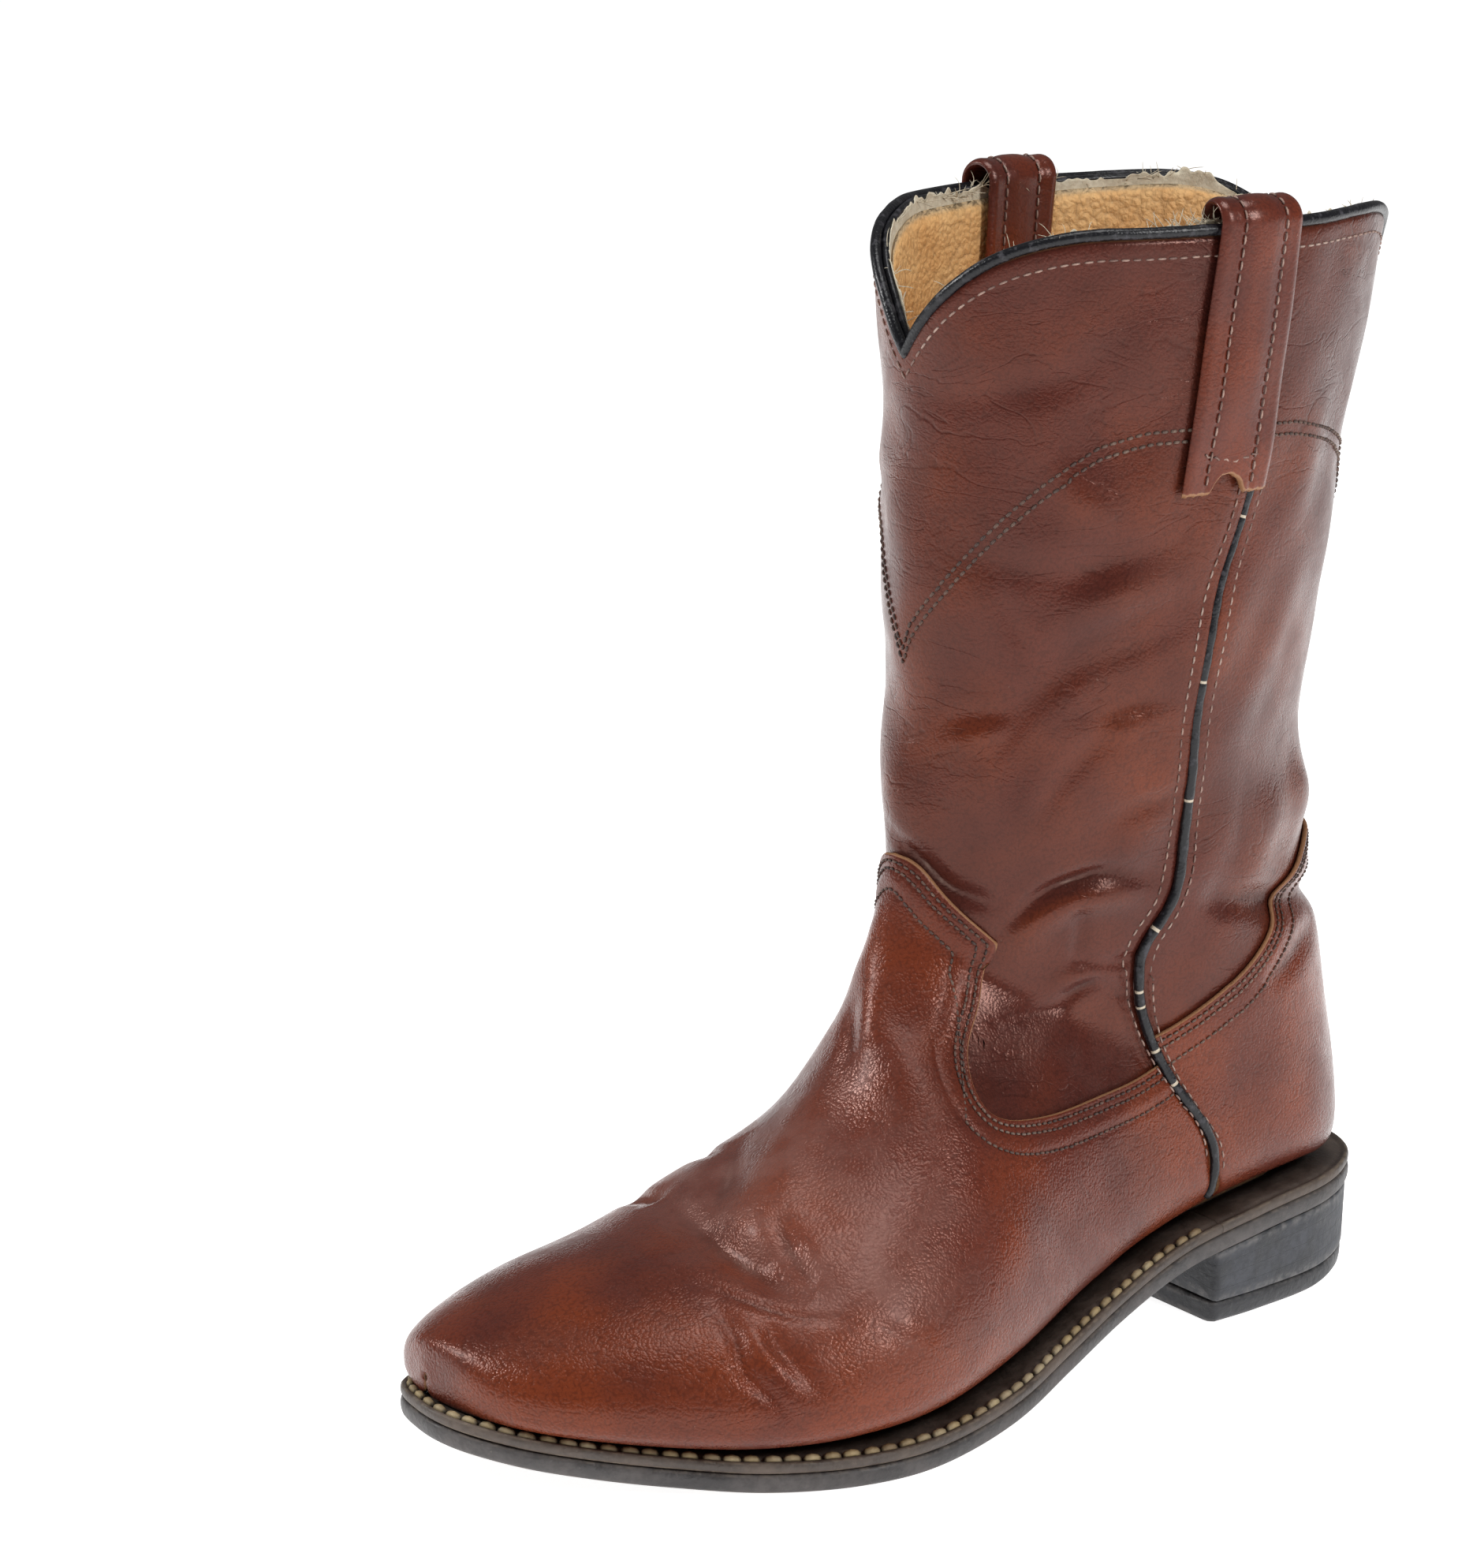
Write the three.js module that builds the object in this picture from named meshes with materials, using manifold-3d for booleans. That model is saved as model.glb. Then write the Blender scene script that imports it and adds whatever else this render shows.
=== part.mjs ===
// Cowboy boot, left foot: a lasted leather boot on a welted sole with a stacked heel.
// Millimetres. +Z up, toe towards -Y, +X is the outer (lateral) side, heel on the floor at z = 0.

import * as THREE from 'three';
import { mergeVertices } from 'three/addons/utils/BufferGeometryUtils.js';
import Module from 'manifold-3d';

const wasm = await Module();
wasm.setup();

// Driving sizes.
const LAST_LENGTH = 270; // upper, toe tip to back of heel
const BALL_WIDTH = 111; // upper across the ball
const ANKLE_HEIGHT = 134; // floor to the throat, where the instep turns into the shaft
const BOOT_HEIGHT = 290; // floor to the topline at the sides
const SHAFT_DEPTH = 152; // shaft front to back at the topline
const SHAFT_WIDTH = 100; // shaft side to side at the topline
const FRONT_DIP = 31; // the topline's drop at the front
const BACK_DIP = 40; // the topline's drop at the back

// Sole and heel.
const OUTSOLE = 5; // outsole thickness
const WELT = 3; // welt and heel rand thickness
const WELT_WIDTH = 15; // welt strip, from the sole's edge inwards
const SOLE_OVERHANG = 3.5; // sole edge past the last's widest line
const TOE_SPRING = 10; // toe tip off the floor
const HEEL_SEAT_RISE = 24; // underside of the sole at the heel, off the floor
const HEEL_BREAST = 56; // heel's front face, ahead of the upper's back
const TOP_LIFT = 6; // rubber lift under the heel
const HEEL_TAPER = 1.5; // the heel's draw-in from seat to floor
const INSOLE = 2.6;
const SOCK = 1.4;
const NAIL_RADIUS = 1.1;
const NAIL_HEAD_RADIUS = 2.4;
const NAIL_LENGTH = 22;
const NAIL_EDGE = 3; // leather left between a nail's head and the lasting margin
const NAIL_ARC_DEPTH = 0.052; // how far back the arc of nails bows, as a share of the last's length
const NAIL_COUNT = 5;
const SHANK = { width: 16, length: 92, thickness: 1.6 };

// Leather layers.
const SKIN = 1.5; // vamp and counter
const SHAFT_SKIN = 1.4;
const STIFFENER = 1.2; // toe box and counter stiffener
const TAPE = 0.6; // canvas tape under the topline
const LINING = 1.1;
const STRAP = 2.2; // doubled pull-strap leather
const TOE_BOX = 0.79; // the toe box's back edge, as a share of LAST_LENGTH ahead of the heel
const SEAM_STEP = 0.66; // where the seam leaves the counter, as a share of ANKLE_HEIGHT
const GAP = 0.3; // between neighbouring pieces
const LASTING_MARGIN = 14; // upper turned in over the insole's edge
const LAP = 9; // shaft tucked in under the vamp and the counter
const TAPE_HEIGHT = 12;
const SEAM_BEAD = 2.4; // width of the side seam's bead
const BEAD_RISE = 0.9; // how far the bead stands out of the leather
const TOPLINE_BEAD = 2.4;
const STRAP_WIDTH = 25;
const STRAP_DROP = 64; // outer leg, from the topline down
const STRAP_INSIDE = 44; // inner leg, from the topline down
const STRAP_SLACK = 1.2; // the inner leg hangs this far off the lining
const STRAP_LOOP = 5.6; // clear height of the loop over the topline bead

// Depths below the outside of the upper.
const VAMP_AT = [0, SKIN];
const SHAFT_AT = [SKIN + GAP, SKIN + GAP + SHAFT_SKIN];
const STIFFENER_AT = [SKIN + GAP, SKIN + GAP + STIFFENER];
const TAPE_AT = [SHAFT_AT[1] + GAP, SHAFT_AT[1] + GAP + TAPE];
const LINING_AT = [TAPE_AT[1] + GAP, TAPE_AT[1] + GAP + LINING];
const STRAP_OUT = [SHAFT_AT[0] - BEAD_RISE - GAP - STRAP, SHAFT_AT[0] - BEAD_RISE - GAP];
const STRAP_IN = [LINING_AT[1] + STRAP_SLACK, LINING_AT[1] + STRAP_SLACK + STRAP];

// Mesh density and the blocks that cut with.
const AROUND = 30;
const PER_SECTION = 1;
const FAR = 400;

const SOLE_STACK = OUTSOLE + WELT;
const SHAFT_AXIS = -0.266 * LAST_LENGTH;

const smooth = t => {
  const c = Math.min(Math.max(t, 0), 1);
  return c * c * (3 - 2 * c);
};

// Height of the welt's top above the floor: toe spring, a level tread, then the rise to the heel seat.
function bed(y) {
  const s = -y / LAST_LENGTH;
  const toe = Math.max(0, (s - 0.717) / 0.3);
  return SOLE_STACK + TOE_SPRING * toe * toe + HEEL_SEAT_RISE * smooth((0.662 - s) / 0.611);
}

// Foot sections, toe to heel, in hundredths. Front and back ends are shares of LAST_LENGTH ahead of
// the heel back and of ANKLE_HEIGHT; an end with no height rests on the bed. Then the outer and inner
// edges as shares of BALL_WIDTH, how far down the section is widest, and its roundness above and below.
const FOOT = [
  [100, 21, 100, 0, -3.5, -14.5, 55, 2.0, 2.6],
  [99.5, 23.5, 99.5, 0, 6, -20.5, 60, 2.0, 3.0],
  [97.8, 25.5, 97.8, 0, 17.5, -26, 62, 2.0, 3.6],
  [93.5, 29, 93.5, 0, 30, -32.5, 66, 2.0, 3.6],
  [86.5, 33.5, 86.5, 0, 43, -38, 68, 2.0, 3.6],
  [78.5, 37.5, 78.5, 0, 54, -40.5, 70, 2.0, 3.6],
  [70.3, 45, 70.3, 0, 59.5, -40.5, 70, 2.0, 3.6],
  [63.6, 52.5, 62.8, 0, 59.5, -38, 70, 1.9, 3.6],
  [59.6, 60, 54, 0, 55, -34.5, 68, 1.8, 3.6],
  [57, 68, 44, 0, 47.5, -32, 64, 1.8, 3.6],
  [55.2, 73, 33, 0, 39, -30.5, 60, 1.8, 3.6],
  [54, 78, 21.5, 0, 34, -31, 60, 1.8, 3.6],
  [53, 82, 11.5, 0, 32, -31.5, 62, 1.8, 3.6],
  [52.4, 85.5, 2.8, 0, 31, -31.5, 64, 1.8, 3.0],
  [52, 88, -0.8, 29.5, 31.5, -32, 64, 1.8, 2.6],
  [51.6, 91, -0.8, 46, 33, -33.5, 62, 1.8, 2.2],
  [51.3, 95, 0.6, 64, 34, -34, 58, 1.8, 2.1],
  [51.2, 100, 2, 81, 35, -35, 54, 1.8, 2.0],
];

// Shaft sections, ankle to above the topline, in hundredths: front and back ends as shares of half
// SHAFT_DEPTH off the shaft's axis and of the shaft's height, then edges as shares of SHAFT_WIDTH.
const SHAFT = [
  [-87, 10, 80.5, 6, 41.5, -41.5, 50, 1.8, 1.9],
  [-83, 26, 79, 24, 43.5, -43.5, 50, 1.8, 1.9],
  [-84.5, 45, 88, 44, 45.5, -45.5, 50, 1.8, 1.9],
  [-83.5, 64, 92, 63, 47.5, -47.5, 50, 1.8, 1.9],
  [-86, 83, 101, 81, 49, -49, 50, 1.8, 1.9],
  [-90, 103, 109.5, 101, 50, -50, 50, 1.8, 1.9],
  [-94, 118, 114, 118, 50.5, -50.5, 50, 1.8, 1.9],
];

const shaftHeight = share => ANKLE_HEIGHT + share * (BOOT_HEIGHT - ANKLE_HEIGHT);
const footPoint = (y, z) => new THREE.Vector2(-y * LAST_LENGTH / 100, z * ANKLE_HEIGHT / 100);
const shaftPoint = (y, z) =>
  new THREE.Vector2(SHAFT_AXIS + y * SHAFT_DEPTH / 200, shaftHeight(z / 100));

const section = (front, back, outer, inner, row) => ({
  front,
  back,
  middle: (outer + inner) / 2,
  half: (outer - inner) / 2,
  widest: row[6] / 100,
  top: row[7],
  bottom: row[8],
});

function footSection(row) {
  const back = footPoint(row[2], row[3]);
  if (row[3] === 0) back.y = bed(back.x) + GAP;
  const scale = BALL_WIDTH / 100;
  return section(footPoint(row[0], row[1]), back, row[4] * scale, row[5] * scale, row);
}

function shaftSection(row) {
  const scale = SHAFT_WIDTH / 100;
  return section(
    shaftPoint(row[0], row[1]), shaftPoint(row[2], row[3]), row[4] * scale, row[5] * scale, row);
}

const SECTIONS = [...FOOT.map(footSection), ...SHAFT.map(shaftSection)];
const LAST_SECTION = SECTIONS.length - 1;

function catmullRom(a, b, c, d, t) {
  return 0.5 * (2 * b + (c - a) * t + (2 * a - 5 * b + 4 * c - d) * t * t
    + (3 * b - a - 3 * c + d) * t * t * t);
}

// One value of the sections, carried smoothly from section to section.
function along(v, read) {
  const i = Math.min(Math.floor(v), LAST_SECTION - 1);
  const at = k => read(SECTIONS[k]);
  const before = i > 0 ? at(i - 1) : 2 * at(0) - at(1);
  const after = i + 2 <= LAST_SECTION ? at(i + 2) : 2 * at(LAST_SECTION) - at(LAST_SECTION - 1);
  return catmullRom(before, at(i), at(i + 1), after, v - i);
}

// The outside of the upper. u turns about a section: 0 in front, + on the outer side, pi at the back.
function upper(u, v) {
  const turn = Math.abs(u);
  const round = turn < Math.PI / 2 ? along(v, s => s.top) : along(v, s => s.bottom);
  const widest = along(v, s => s.widest);
  const out = Math.max(0, Math.sin(turn)) ** (2 / round);
  const down = Math.abs(Math.cos(turn)) ** (2 / round);
  const share = turn < Math.PI / 2 ? widest * (1 - down) : widest + (1 - widest) * down;
  const mix = read => {
    const f = along(v, s => read(s.front));
    return f + (along(v, s => read(s.back)) - f) * share;
  };
  const side = Math.sign(u) * along(v, s => s.half) * out;
  return new THREE.Vector3(along(v, s => s.middle) + side, mix(p => p.x), mix(p => p.y));
}

function outward(u, v) {
  const step = 0.02;
  const down = upper(u, Math.max(v - step, 0)).sub(upper(u, Math.min(v + step, LAST_SECTION)));
  const round = upper(u + step, v).sub(upper(u - step, v));
  return down.cross(round).normalize();
}

const toManifold = geometry => {
  const bare = geometry.clone();
  bare.deleteAttribute('normal');
  bare.deleteAttribute('uv');
  const merged = mergeVertices(bare, 1e-4);
  const index = [];
  const all = merged.index.array;
  for (let i = 0; i < all.length; i += 3) {
    const [a, b, c] = [all[i], all[i + 1], all[i + 2]];
    if (a !== b && b !== c && c !== a) index.push(a, b, c);
  }
  return new wasm.Manifold(new wasm.Mesh({
    numProp: 3,
    vertProperties: merged.attributes.position.array,
    triVerts: new Uint32Array(index),
  }));
};

function indexed(points, index) {
  const geometry = new THREE.BufferGeometry();
  geometry.setAttribute('position', new THREE.Float32BufferAttribute(points.flatMap(p => [p.x, p.y, p.z]), 3));
  geometry.setIndex(index);
  return geometry;
}

// Rings of equally many points joined into a skin and closed by a fan at each end.
function skin(rings) {
  const n = rings[0].length;
  const index = [];
  for (let i = 0; i + 1 < rings.length; i++) {
    for (let j = 0; j < n; j++) {
      const a = i * n + j;
      const b = i * n + (j + 1) % n;
      index.push(a, b, b + n, a, b + n, a + n);
    }
  }
  const points = rings.flat();
  const cap = (ring, base, flip) => {
    const centre = ring.reduce((s, p) => s.add(p), new THREE.Vector3()).divideScalar(n);
    points.push(centre);
    for (let j = 0; j < n; j++) {
      const [a, b] = [base + j, base + (j + 1) % n];
      index.push(points.length - 1, ...(flip ? [b, a] : [a, b]));
    }
  };
  cap(rings[0], 0, true);
  cap(rings.at(-1), (rings.length - 1) * n, false);
  return indexed(points, index);
}

// The boot's whole volume, drawn in by a depth below its outside.
const bodies = new Map();
function body(depth) {
  if (bodies.has(depth)) return bodies.get(depth);
  const rings = [];
  for (let i = 0; i <= LAST_SECTION * PER_SECTION; i++) {
    const v = i / PER_SECTION;
    const ring = [];
    for (let j = 0; j < AROUND; j++) {
      const u = -Math.PI + (2 * Math.PI * j) / AROUND;
      ring.push(upper(u, v).addScaledVector(outward(u, v), -depth));
    }
    if (v === LAST_SECTION) ring.forEach(p => { p.z += depth; });
    rings.push(ring);
  }
  bodies.set(depth, toManifold(skin(rings)));
  return bodies.get(depth);
}

const shell = ([outside, inside]) => body(outside).subtract(body(inside));

// A view's outline made into a block that runs along the line of sight from one place to another.
const X = new THREE.Vector3(1, 0, 0);
const Y = new THREE.Vector3(0, 1, 0);
const Z = new THREE.Vector3(0, 0, 1);
const SIDE_VIEW = { across: Y, sight: X };
const FRONT_VIEW = { across: X.clone().negate(), sight: Y };

function block(outline, from = -FAR, to = FAR, { across, sight } = SIDE_VIEW) {
  const shape = new THREE.Shape(across === Y ? outline : outline.map(p => corner(-p.x, p.y)));
  const geometry = new THREE.ExtrudeGeometry(shape, { depth: to - from, bevelEnabled: false });
  geometry.applyMatrix4(new THREE.Matrix4().makeBasis(across, Z, sight));
  geometry.translate(sight.x * from, sight.y * from, 0);
  return toManifold(geometry);
}

const spline = (points, steps) => new THREE.SplineCurve(points).getPoints(steps);
const corner = (along, z) => new THREE.Vector2(along, z);

// Side-view lines of the upper.
const SEAM = spline([
  footPoint(22, 8), footPoint(21.6, 30), footPoint(22.5, 40), footPoint(27, 53), footPoint(30.5, 68),
  footPoint(31, 80), footPoint(28, 94), shaftPoint(-5, 22), shaftPoint(0, 42), shaftPoint(11, 60),
  shaftPoint(19, 100), shaftPoint(24, 125),
], 44);
const VAMP_FRONT = spline([
  footPoint(56, 103), footPoint(51.5, 100.5), footPoint(48.6, 92.5), footPoint(44.5, 84),
], 10);
const VAMP_SCOOP = spline([
  footPoint(44.5, 84), footPoint(46.5, 74), footPoint(49.6, 66), footPoint(50.4, 59), footPoint(48.5, 55),
  footPoint(43, 53.3), footPoint(36.5, 54.2), footPoint(29.5, 57), footPoint(20, 66),
], 26);
const COUNTER_EDGE = spline([
  footPoint(31, 59), footPoint(26, 63.5), footPoint(18.5, 73.5), footPoint(12.5, 84.5), footPoint(6, 92.5),
  footPoint(-4, 97),
], 20);

// A line moved sideways in the side view; its ends keep their direction.
function shifted(line, distance) {
  return line.map((p, i) => {
    const before = line[Math.max(i - 1, 0)];
    const after = line[Math.min(i + 1, line.length - 1)];
    const run = after.clone().sub(before).normalize();
    return new THREE.Vector2(p.x + run.y * distance, p.y - run.x * distance);
  });
}

const aheadOf = line => [...line, corner(-FAR, line.at(-1).y), corner(-FAR, line[0].y)];
const behind = line => [...line, corner(FAR, line.at(-1).y), corner(FAR, line[0].y)];
const strip = (line, width) => [...shifted(line, width / 2), ...shifted(line, -width / 2).reverse()];
const under = line => [...line, corner(FAR, -FAR), corner(-FAR, -FAR)];

function levelLine(line) {
  return [corner(-FAR, line[0].y), ...line, corner(FAR, line.at(-1).y)];
}

const SEAM_CLEAR = SEAM_BEAD / 2 + GAP;
const aheadOfSeam = block(aheadOf(shifted(SEAM, -SEAM_CLEAR)));
const behindSeam = block(behind(shifted(SEAM, SEAM_CLEAR)));

// The vamp's edge grown towards the toe and the sole, away from a point up inside the shaft.
const VAMP_EDGE = [...VAMP_FRONT, ...VAMP_SCOOP.slice(1)];
const SHAFT_HEART = footPoint(22, 134);
const grown = (line, distance) => line.map(p => {
  const away = p.clone().sub(SHAFT_HEART).setLength(distance);
  return p.clone().add(away);
});
const lowered = (line, distance) => line.map(p => corner(p.x, p.y - distance));
const underVamp = lap => block(under(levelLine(lap ? grown(VAMP_EDGE, lap) : VAMP_EDGE)));
const underCounter = lap => block(under(levelLine(lowered(COUNTER_EDGE, lap))));

// The topline dips to a V at the front and at the back and is level along the sides. Everything
// below it, or below a line drawn that far under it.
function belowEdge(dip, line, y0, y1) {
  const half = [[1.4, 0], [1.1, 0], [0.88, 0], [0.8, 0], [0.6, 0.1], [0.38, 0.33], [0.15, 0.66], [0, 1]];
  const at = (x, share) => corner(x * SHAFT_WIDTH / 2, BOOT_HEIGHT - share * dip);
  const points = half.map(([x, share]) => at(-x, share));
  points.push(...half.slice(0, -1).reverse().map(([x, share]) => at(x, share)));
  return block(under(levelLine(line(spline(points, 40)))), y0, y1, FRONT_VIEW);
}

const belowTopline = line => belowEdge(FRONT_DIP, line, -FAR, SHAFT_AXIS + 1)
  .add(belowEdge(BACK_DIP, line, SHAFT_AXIS - 1, FAR));

// The sole's plan outline: outer side toe to heel, then back along the inner side.
const SOLE_HALF = BALL_WIDTH / 100;
const solePoint = (x, y) => new THREE.Vector3(x * SOLE_HALF, -y * LAST_LENGTH / 100, 0);
const SOLE_OUTLINE = new THREE.CatmullRomCurve3([
  solePoint(-8, 101.5), solePoint(5, 101), solePoint(18, 97.5), solePoint(28, 92.5), solePoint(38, 86.5),
  solePoint(49, 79.5), solePoint(57, 71), solePoint(58.5, 63.5), solePoint(54, 53), solePoint(46, 44),
  solePoint(38, 34.5), solePoint(32.5, 25), solePoint(31.5, 15), solePoint(28, 5.5), solePoint(16.5, -1.7),
  solePoint(0, -4), solePoint(-16.5, -1.7), solePoint(-28, 5.5), solePoint(-31.5, 15), solePoint(-30.5, 28),
  solePoint(-29, 40), solePoint(-31, 52), solePoint(-37, 63.5), solePoint(-40.5, 73), solePoint(-40, 82),
  solePoint(-34, 92), solePoint(-22, 99.5),
], true).getPoints(120).slice(0, -1);

function inset(outline, distance) {
  return outline.map((p, i) => {
    const before = outline.at(i - 1);
    const after = outline[(i + 1) % outline.length];
    const run = after.clone().sub(before).normalize();
    return new THREE.Vector3(p.x - run.y * distance, p.y + run.x * distance, 0);
  });
}

// Left and right edge of an outline at one place along the boot.
function span(outline, y) {
  const hits = [];
  outline.forEach((p, i) => {
    const q = outline[(i + 1) % outline.length];
    if ((p.y - y) * (q.y - y) < 0) hits.push(p.x + (q.x - p.x) * (y - p.y) / (q.y - p.y));
  });
  return [Math.min(...hits), Math.max(...hits)];
}

// A slab over a plan outline between two surfaces that each follow a height along the boot.
function slab(outline, low, high, steps = 44) {
  const ys = outline.map(p => p.y);
  const front = Math.min(...ys);
  const back = Math.max(...ys);
  const rings = [];
  for (let i = 0; i <= steps; i++) {
    const share = 0.0012 + 0.9976 * (1 - Math.cos(Math.PI * i / steps)) / 2;
    const y = front + (back - front) * share;
    const [left, right] = span(outline, y);
    rings.push([
      new THREE.Vector3(left, y, low(y)), new THREE.Vector3(left, y, high(y)),
      new THREE.Vector3(right, y, high(y)), new THREE.Vector3(right, y, low(y)),
    ]);
  }
  return toManifold(skin(rings));
}

const overBed = height => y => bed(y) + height;
const behindY = y => block([corner(y, -FAR), corner(FAR, -FAR), corner(FAR, FAR), corner(y, FAR)]);
const above = z => block([corner(-FAR, z), corner(FAR, z), corner(FAR, FAR), corner(-FAR, FAR)]);
const leftSide = block([corner(-FAR, -FAR), corner(FAR, -FAR), corner(FAR, FAR), corner(-FAR, FAR)], 0, FAR);
const aheadOfY = y => block([corner(-FAR, -FAR), corner(y, -FAR), corner(y, FAR), corner(-FAR, FAR)]);

// Bottom stock.
const breast = -HEEL_BREAST;
const outsoleSolid = slab(SOLE_OUTLINE, overBed(-SOLE_STACK), overBed(-WELT - GAP));
const seatRing = slab(SOLE_OUTLINE, overBed(-WELT), overBed(0))
  .subtract(slab(inset(SOLE_OUTLINE, WELT_WIDTH), overBed(-WELT - 2), overBed(2)));
const marginHole = slab(inset(SOLE_OUTLINE, LASTING_MARGIN + SOLE_OVERHANG), overBed(-2), overBed(9));
const insoleFloor = LINING_AT[1] + 2 * GAP;
const insideLining = body(LINING_AT[1] + GAP);
const layer = (low, high) => insideLining.intersect(
  slab(inset(SOLE_OUTLINE, SOLE_OVERHANG + LINING_AT[1]), overBed(low), overBed(high)));
const insoleSolid = layer(insoleFloor, insoleFloor + INSOLE);
const sockFloor = insoleFloor + INSOLE + GAP;
const sockSolid = layer(sockFloor, sockFloor + SOCK).intersect(behindY(breast - 24));
const fillerSolid = slab(
  inset(SOLE_OUTLINE, LASTING_MARGIN + SOLE_OVERHANG + GAP), overBed(-WELT + GAP), overBed(insoleFloor - GAP));
const blockTop = y => bed(y) - SOLE_STACK - GAP;
const heelOutline = inset(SOLE_OUTLINE, HEEL_TAPER);
const blockSolid = slab(heelOutline, () => TOP_LIFT + GAP, blockTop).intersect(behindY(breast));
const liftSolid = slab(heelOutline, () => 0, () => TOP_LIFT).intersect(behindY(breast));

// The shank ends ahead of the heel nails.
const seat = -0.11 * LAST_LENGTH;
const shankOutline = (grow => {
  const middle = seat - NAIL_HEAD_RADIUS - NAIL_EDGE - SHANK.length / 2;
  const [left, right] = span(SOLE_OUTLINE, middle);
  const x = (left + right) / 2;
  const w = SHANK.width / 2 + grow;
  const l = SHANK.length / 2 + grow;
  const shape = [];
  for (let a = 0; a < 24; a++) {
    const turn = (2 * Math.PI * (a + 0.5)) / 24;
    const square = c => Math.sign(c) * Math.abs(c) ** 0.45;
    shape.push(new THREE.Vector3(x + w * square(Math.cos(turn)), middle + l * square(Math.sin(turn)), 0));
  }
  return shape;
});
const shankTop = insoleFloor - GAP;
const shankSolid = slab(shankOutline(0), overBed(shankTop - SHANK.thickness), overBed(shankTop), 24);
const shankSlot = slab(shankOutline(GAP), overBed(shankTop - SHANK.thickness - GAP), overBed(shankTop + 2), 24);

// Heel nails, in an arc round the seat inside the lasting margin, driven down from the insole.
const nailArc = span(SOLE_OUTLINE, seat)[1] - SOLE_OVERHANG - LASTING_MARGIN - NAIL_HEAD_RADIUS - NAIL_EDGE;

function nail(i, grow) {
  const turn = Math.PI * (1 - i / (NAIL_COUNT - 1));
  const x = nailArc * Math.cos(turn);
  const y = seat + NAIL_ARC_DEPTH * LAST_LENGTH * Math.sin(turn);
  const head = bed(y) + insoleFloor + INSOLE;
  const profile = [
    [0, -NAIL_LENGTH - grow], [NAIL_RADIUS + grow, -NAIL_LENGTH + 2 - grow], [NAIL_RADIUS + grow, -1 - grow],
    [NAIL_HEAD_RADIUS + grow, -1 - grow], [NAIL_HEAD_RADIUS + grow, grow ? 3 : 0], [0, grow ? 3 : 0],
  ].map(([r, z]) => new THREE.Vector2(r, z));
  const geometry = new THREE.LatheGeometry(profile, 12);
  geometry.rotateX(Math.PI / 2);
  geometry.translate(x, y, head);
  return toManifold(geometry);
}

const nails = Array.from({ length: NAIL_COUNT }, (_, i) => nail(i, 0));
const nailHoles = Array.from({ length: NAIL_COUNT }, (_, i) => nail(i, GAP));
const drilled = solid => nailHoles.reduce((s, hole) => s.subtract(hole), solid);

// Upper.
const liningLine = raise => [
  corner(-FAR, 0.8 * ANKLE_HEIGHT + raise), corner(-0.5 * LAST_LENGTH, 0.8 * ANKLE_HEIGHT + raise),
  corner(-0.3 * LAST_LENGTH, 0.5 * ANKLE_HEIGHT + raise), corner(0, 0.62 * ANKLE_HEIGHT + raise),
  corner(FAR, 0.62 * ANKLE_HEIGHT + raise),
];
const belowTop = belowTopline(line => line);
const shaftShell = shell(SHAFT_AT).intersect(belowTop);
const liningShell = shell(LINING_AT).intersect(belowTop);
const footLining = block(under(liningLine(0)));
const legLining = liningShell.subtract(block(under(liningLine(GAP))));
const tapeShell = shell(TAPE_AT).intersect(belowTop).subtract(belowTopline(line => lowered(line, TAPE_HEIGHT)));
const toplineBead = shell([SHAFT_AT[0], LINING_AT[1]])
  .intersect(belowTopline(line => shifted(line, -GAP - TOPLINE_BEAD))).subtract(belowTopline(line => shifted(line, -GAP)));

// The seam's bead stands out of the vamp and the counter low down and out of the shaft above them.
const seamFoot = bed(SEAM[0].x) + SHAFT_AT[1] + 2 * GAP;
const seamStrip = block(strip(SEAM, SEAM_BEAD)).intersect(belowTopline(line => lowered(line, GAP))).intersect(above(seamFoot));
const lowBead = shell([-BEAD_RISE, SHAFT_AT[1]]).subtract(above(SEAM_STEP * ANKLE_HEIGHT));
const highBead = shell([SHAFT_AT[0] - BEAD_RISE, SHAFT_AT[1]]);
const seamBead = seamStrip.intersect(lowBead.add(highBead)).subtract(marginHole);

// A pull strap runs up the outside, over the topline bead in a loop, and down the inside.
const loopTop = BOOT_HEIGHT + GAP + TOPLINE_BEAD + STRAP_LOOP;
const strapFoot = corner(shaftPoint(-3, 0).x, BOOT_HEIGHT - STRAP_DROP);
const strapHead = corner(shaftPoint(8, 0).x, loopTop + STRAP);
const strapBlock = drop => block(strip([corner(strapFoot.x, strapFoot.y + drop), strapHead], STRAP_WIDTH));
const strapHollow = shell([STRAP_OUT[1], STRAP_IN[0]]).subtract(above(loopTop));
const straps = shell([STRAP_OUT[0], STRAP_IN[1]]).intersect(strapBlock(0)).subtract(strapHollow)
  .subtract(body(STRAP_IN[0] - GAP).subtract(above(strapFoot.y + STRAP_DROP - STRAP_INSIDE)));

const left = solid => solid.intersect(leftSide);
const right = solid => solid.subtract(leftSide);

const vampLeather = [0x6e3524, 0.42];
const shaftLeather = [0x70392b, 0.45];
const liningLeather = [0xb98f56, 0.8];
const blackLeather = [0x1f1d1e, 0.5];
const soleLeather = [0x4a4240, 0.7];
const board = [0xa9895f, 0.85];

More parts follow.
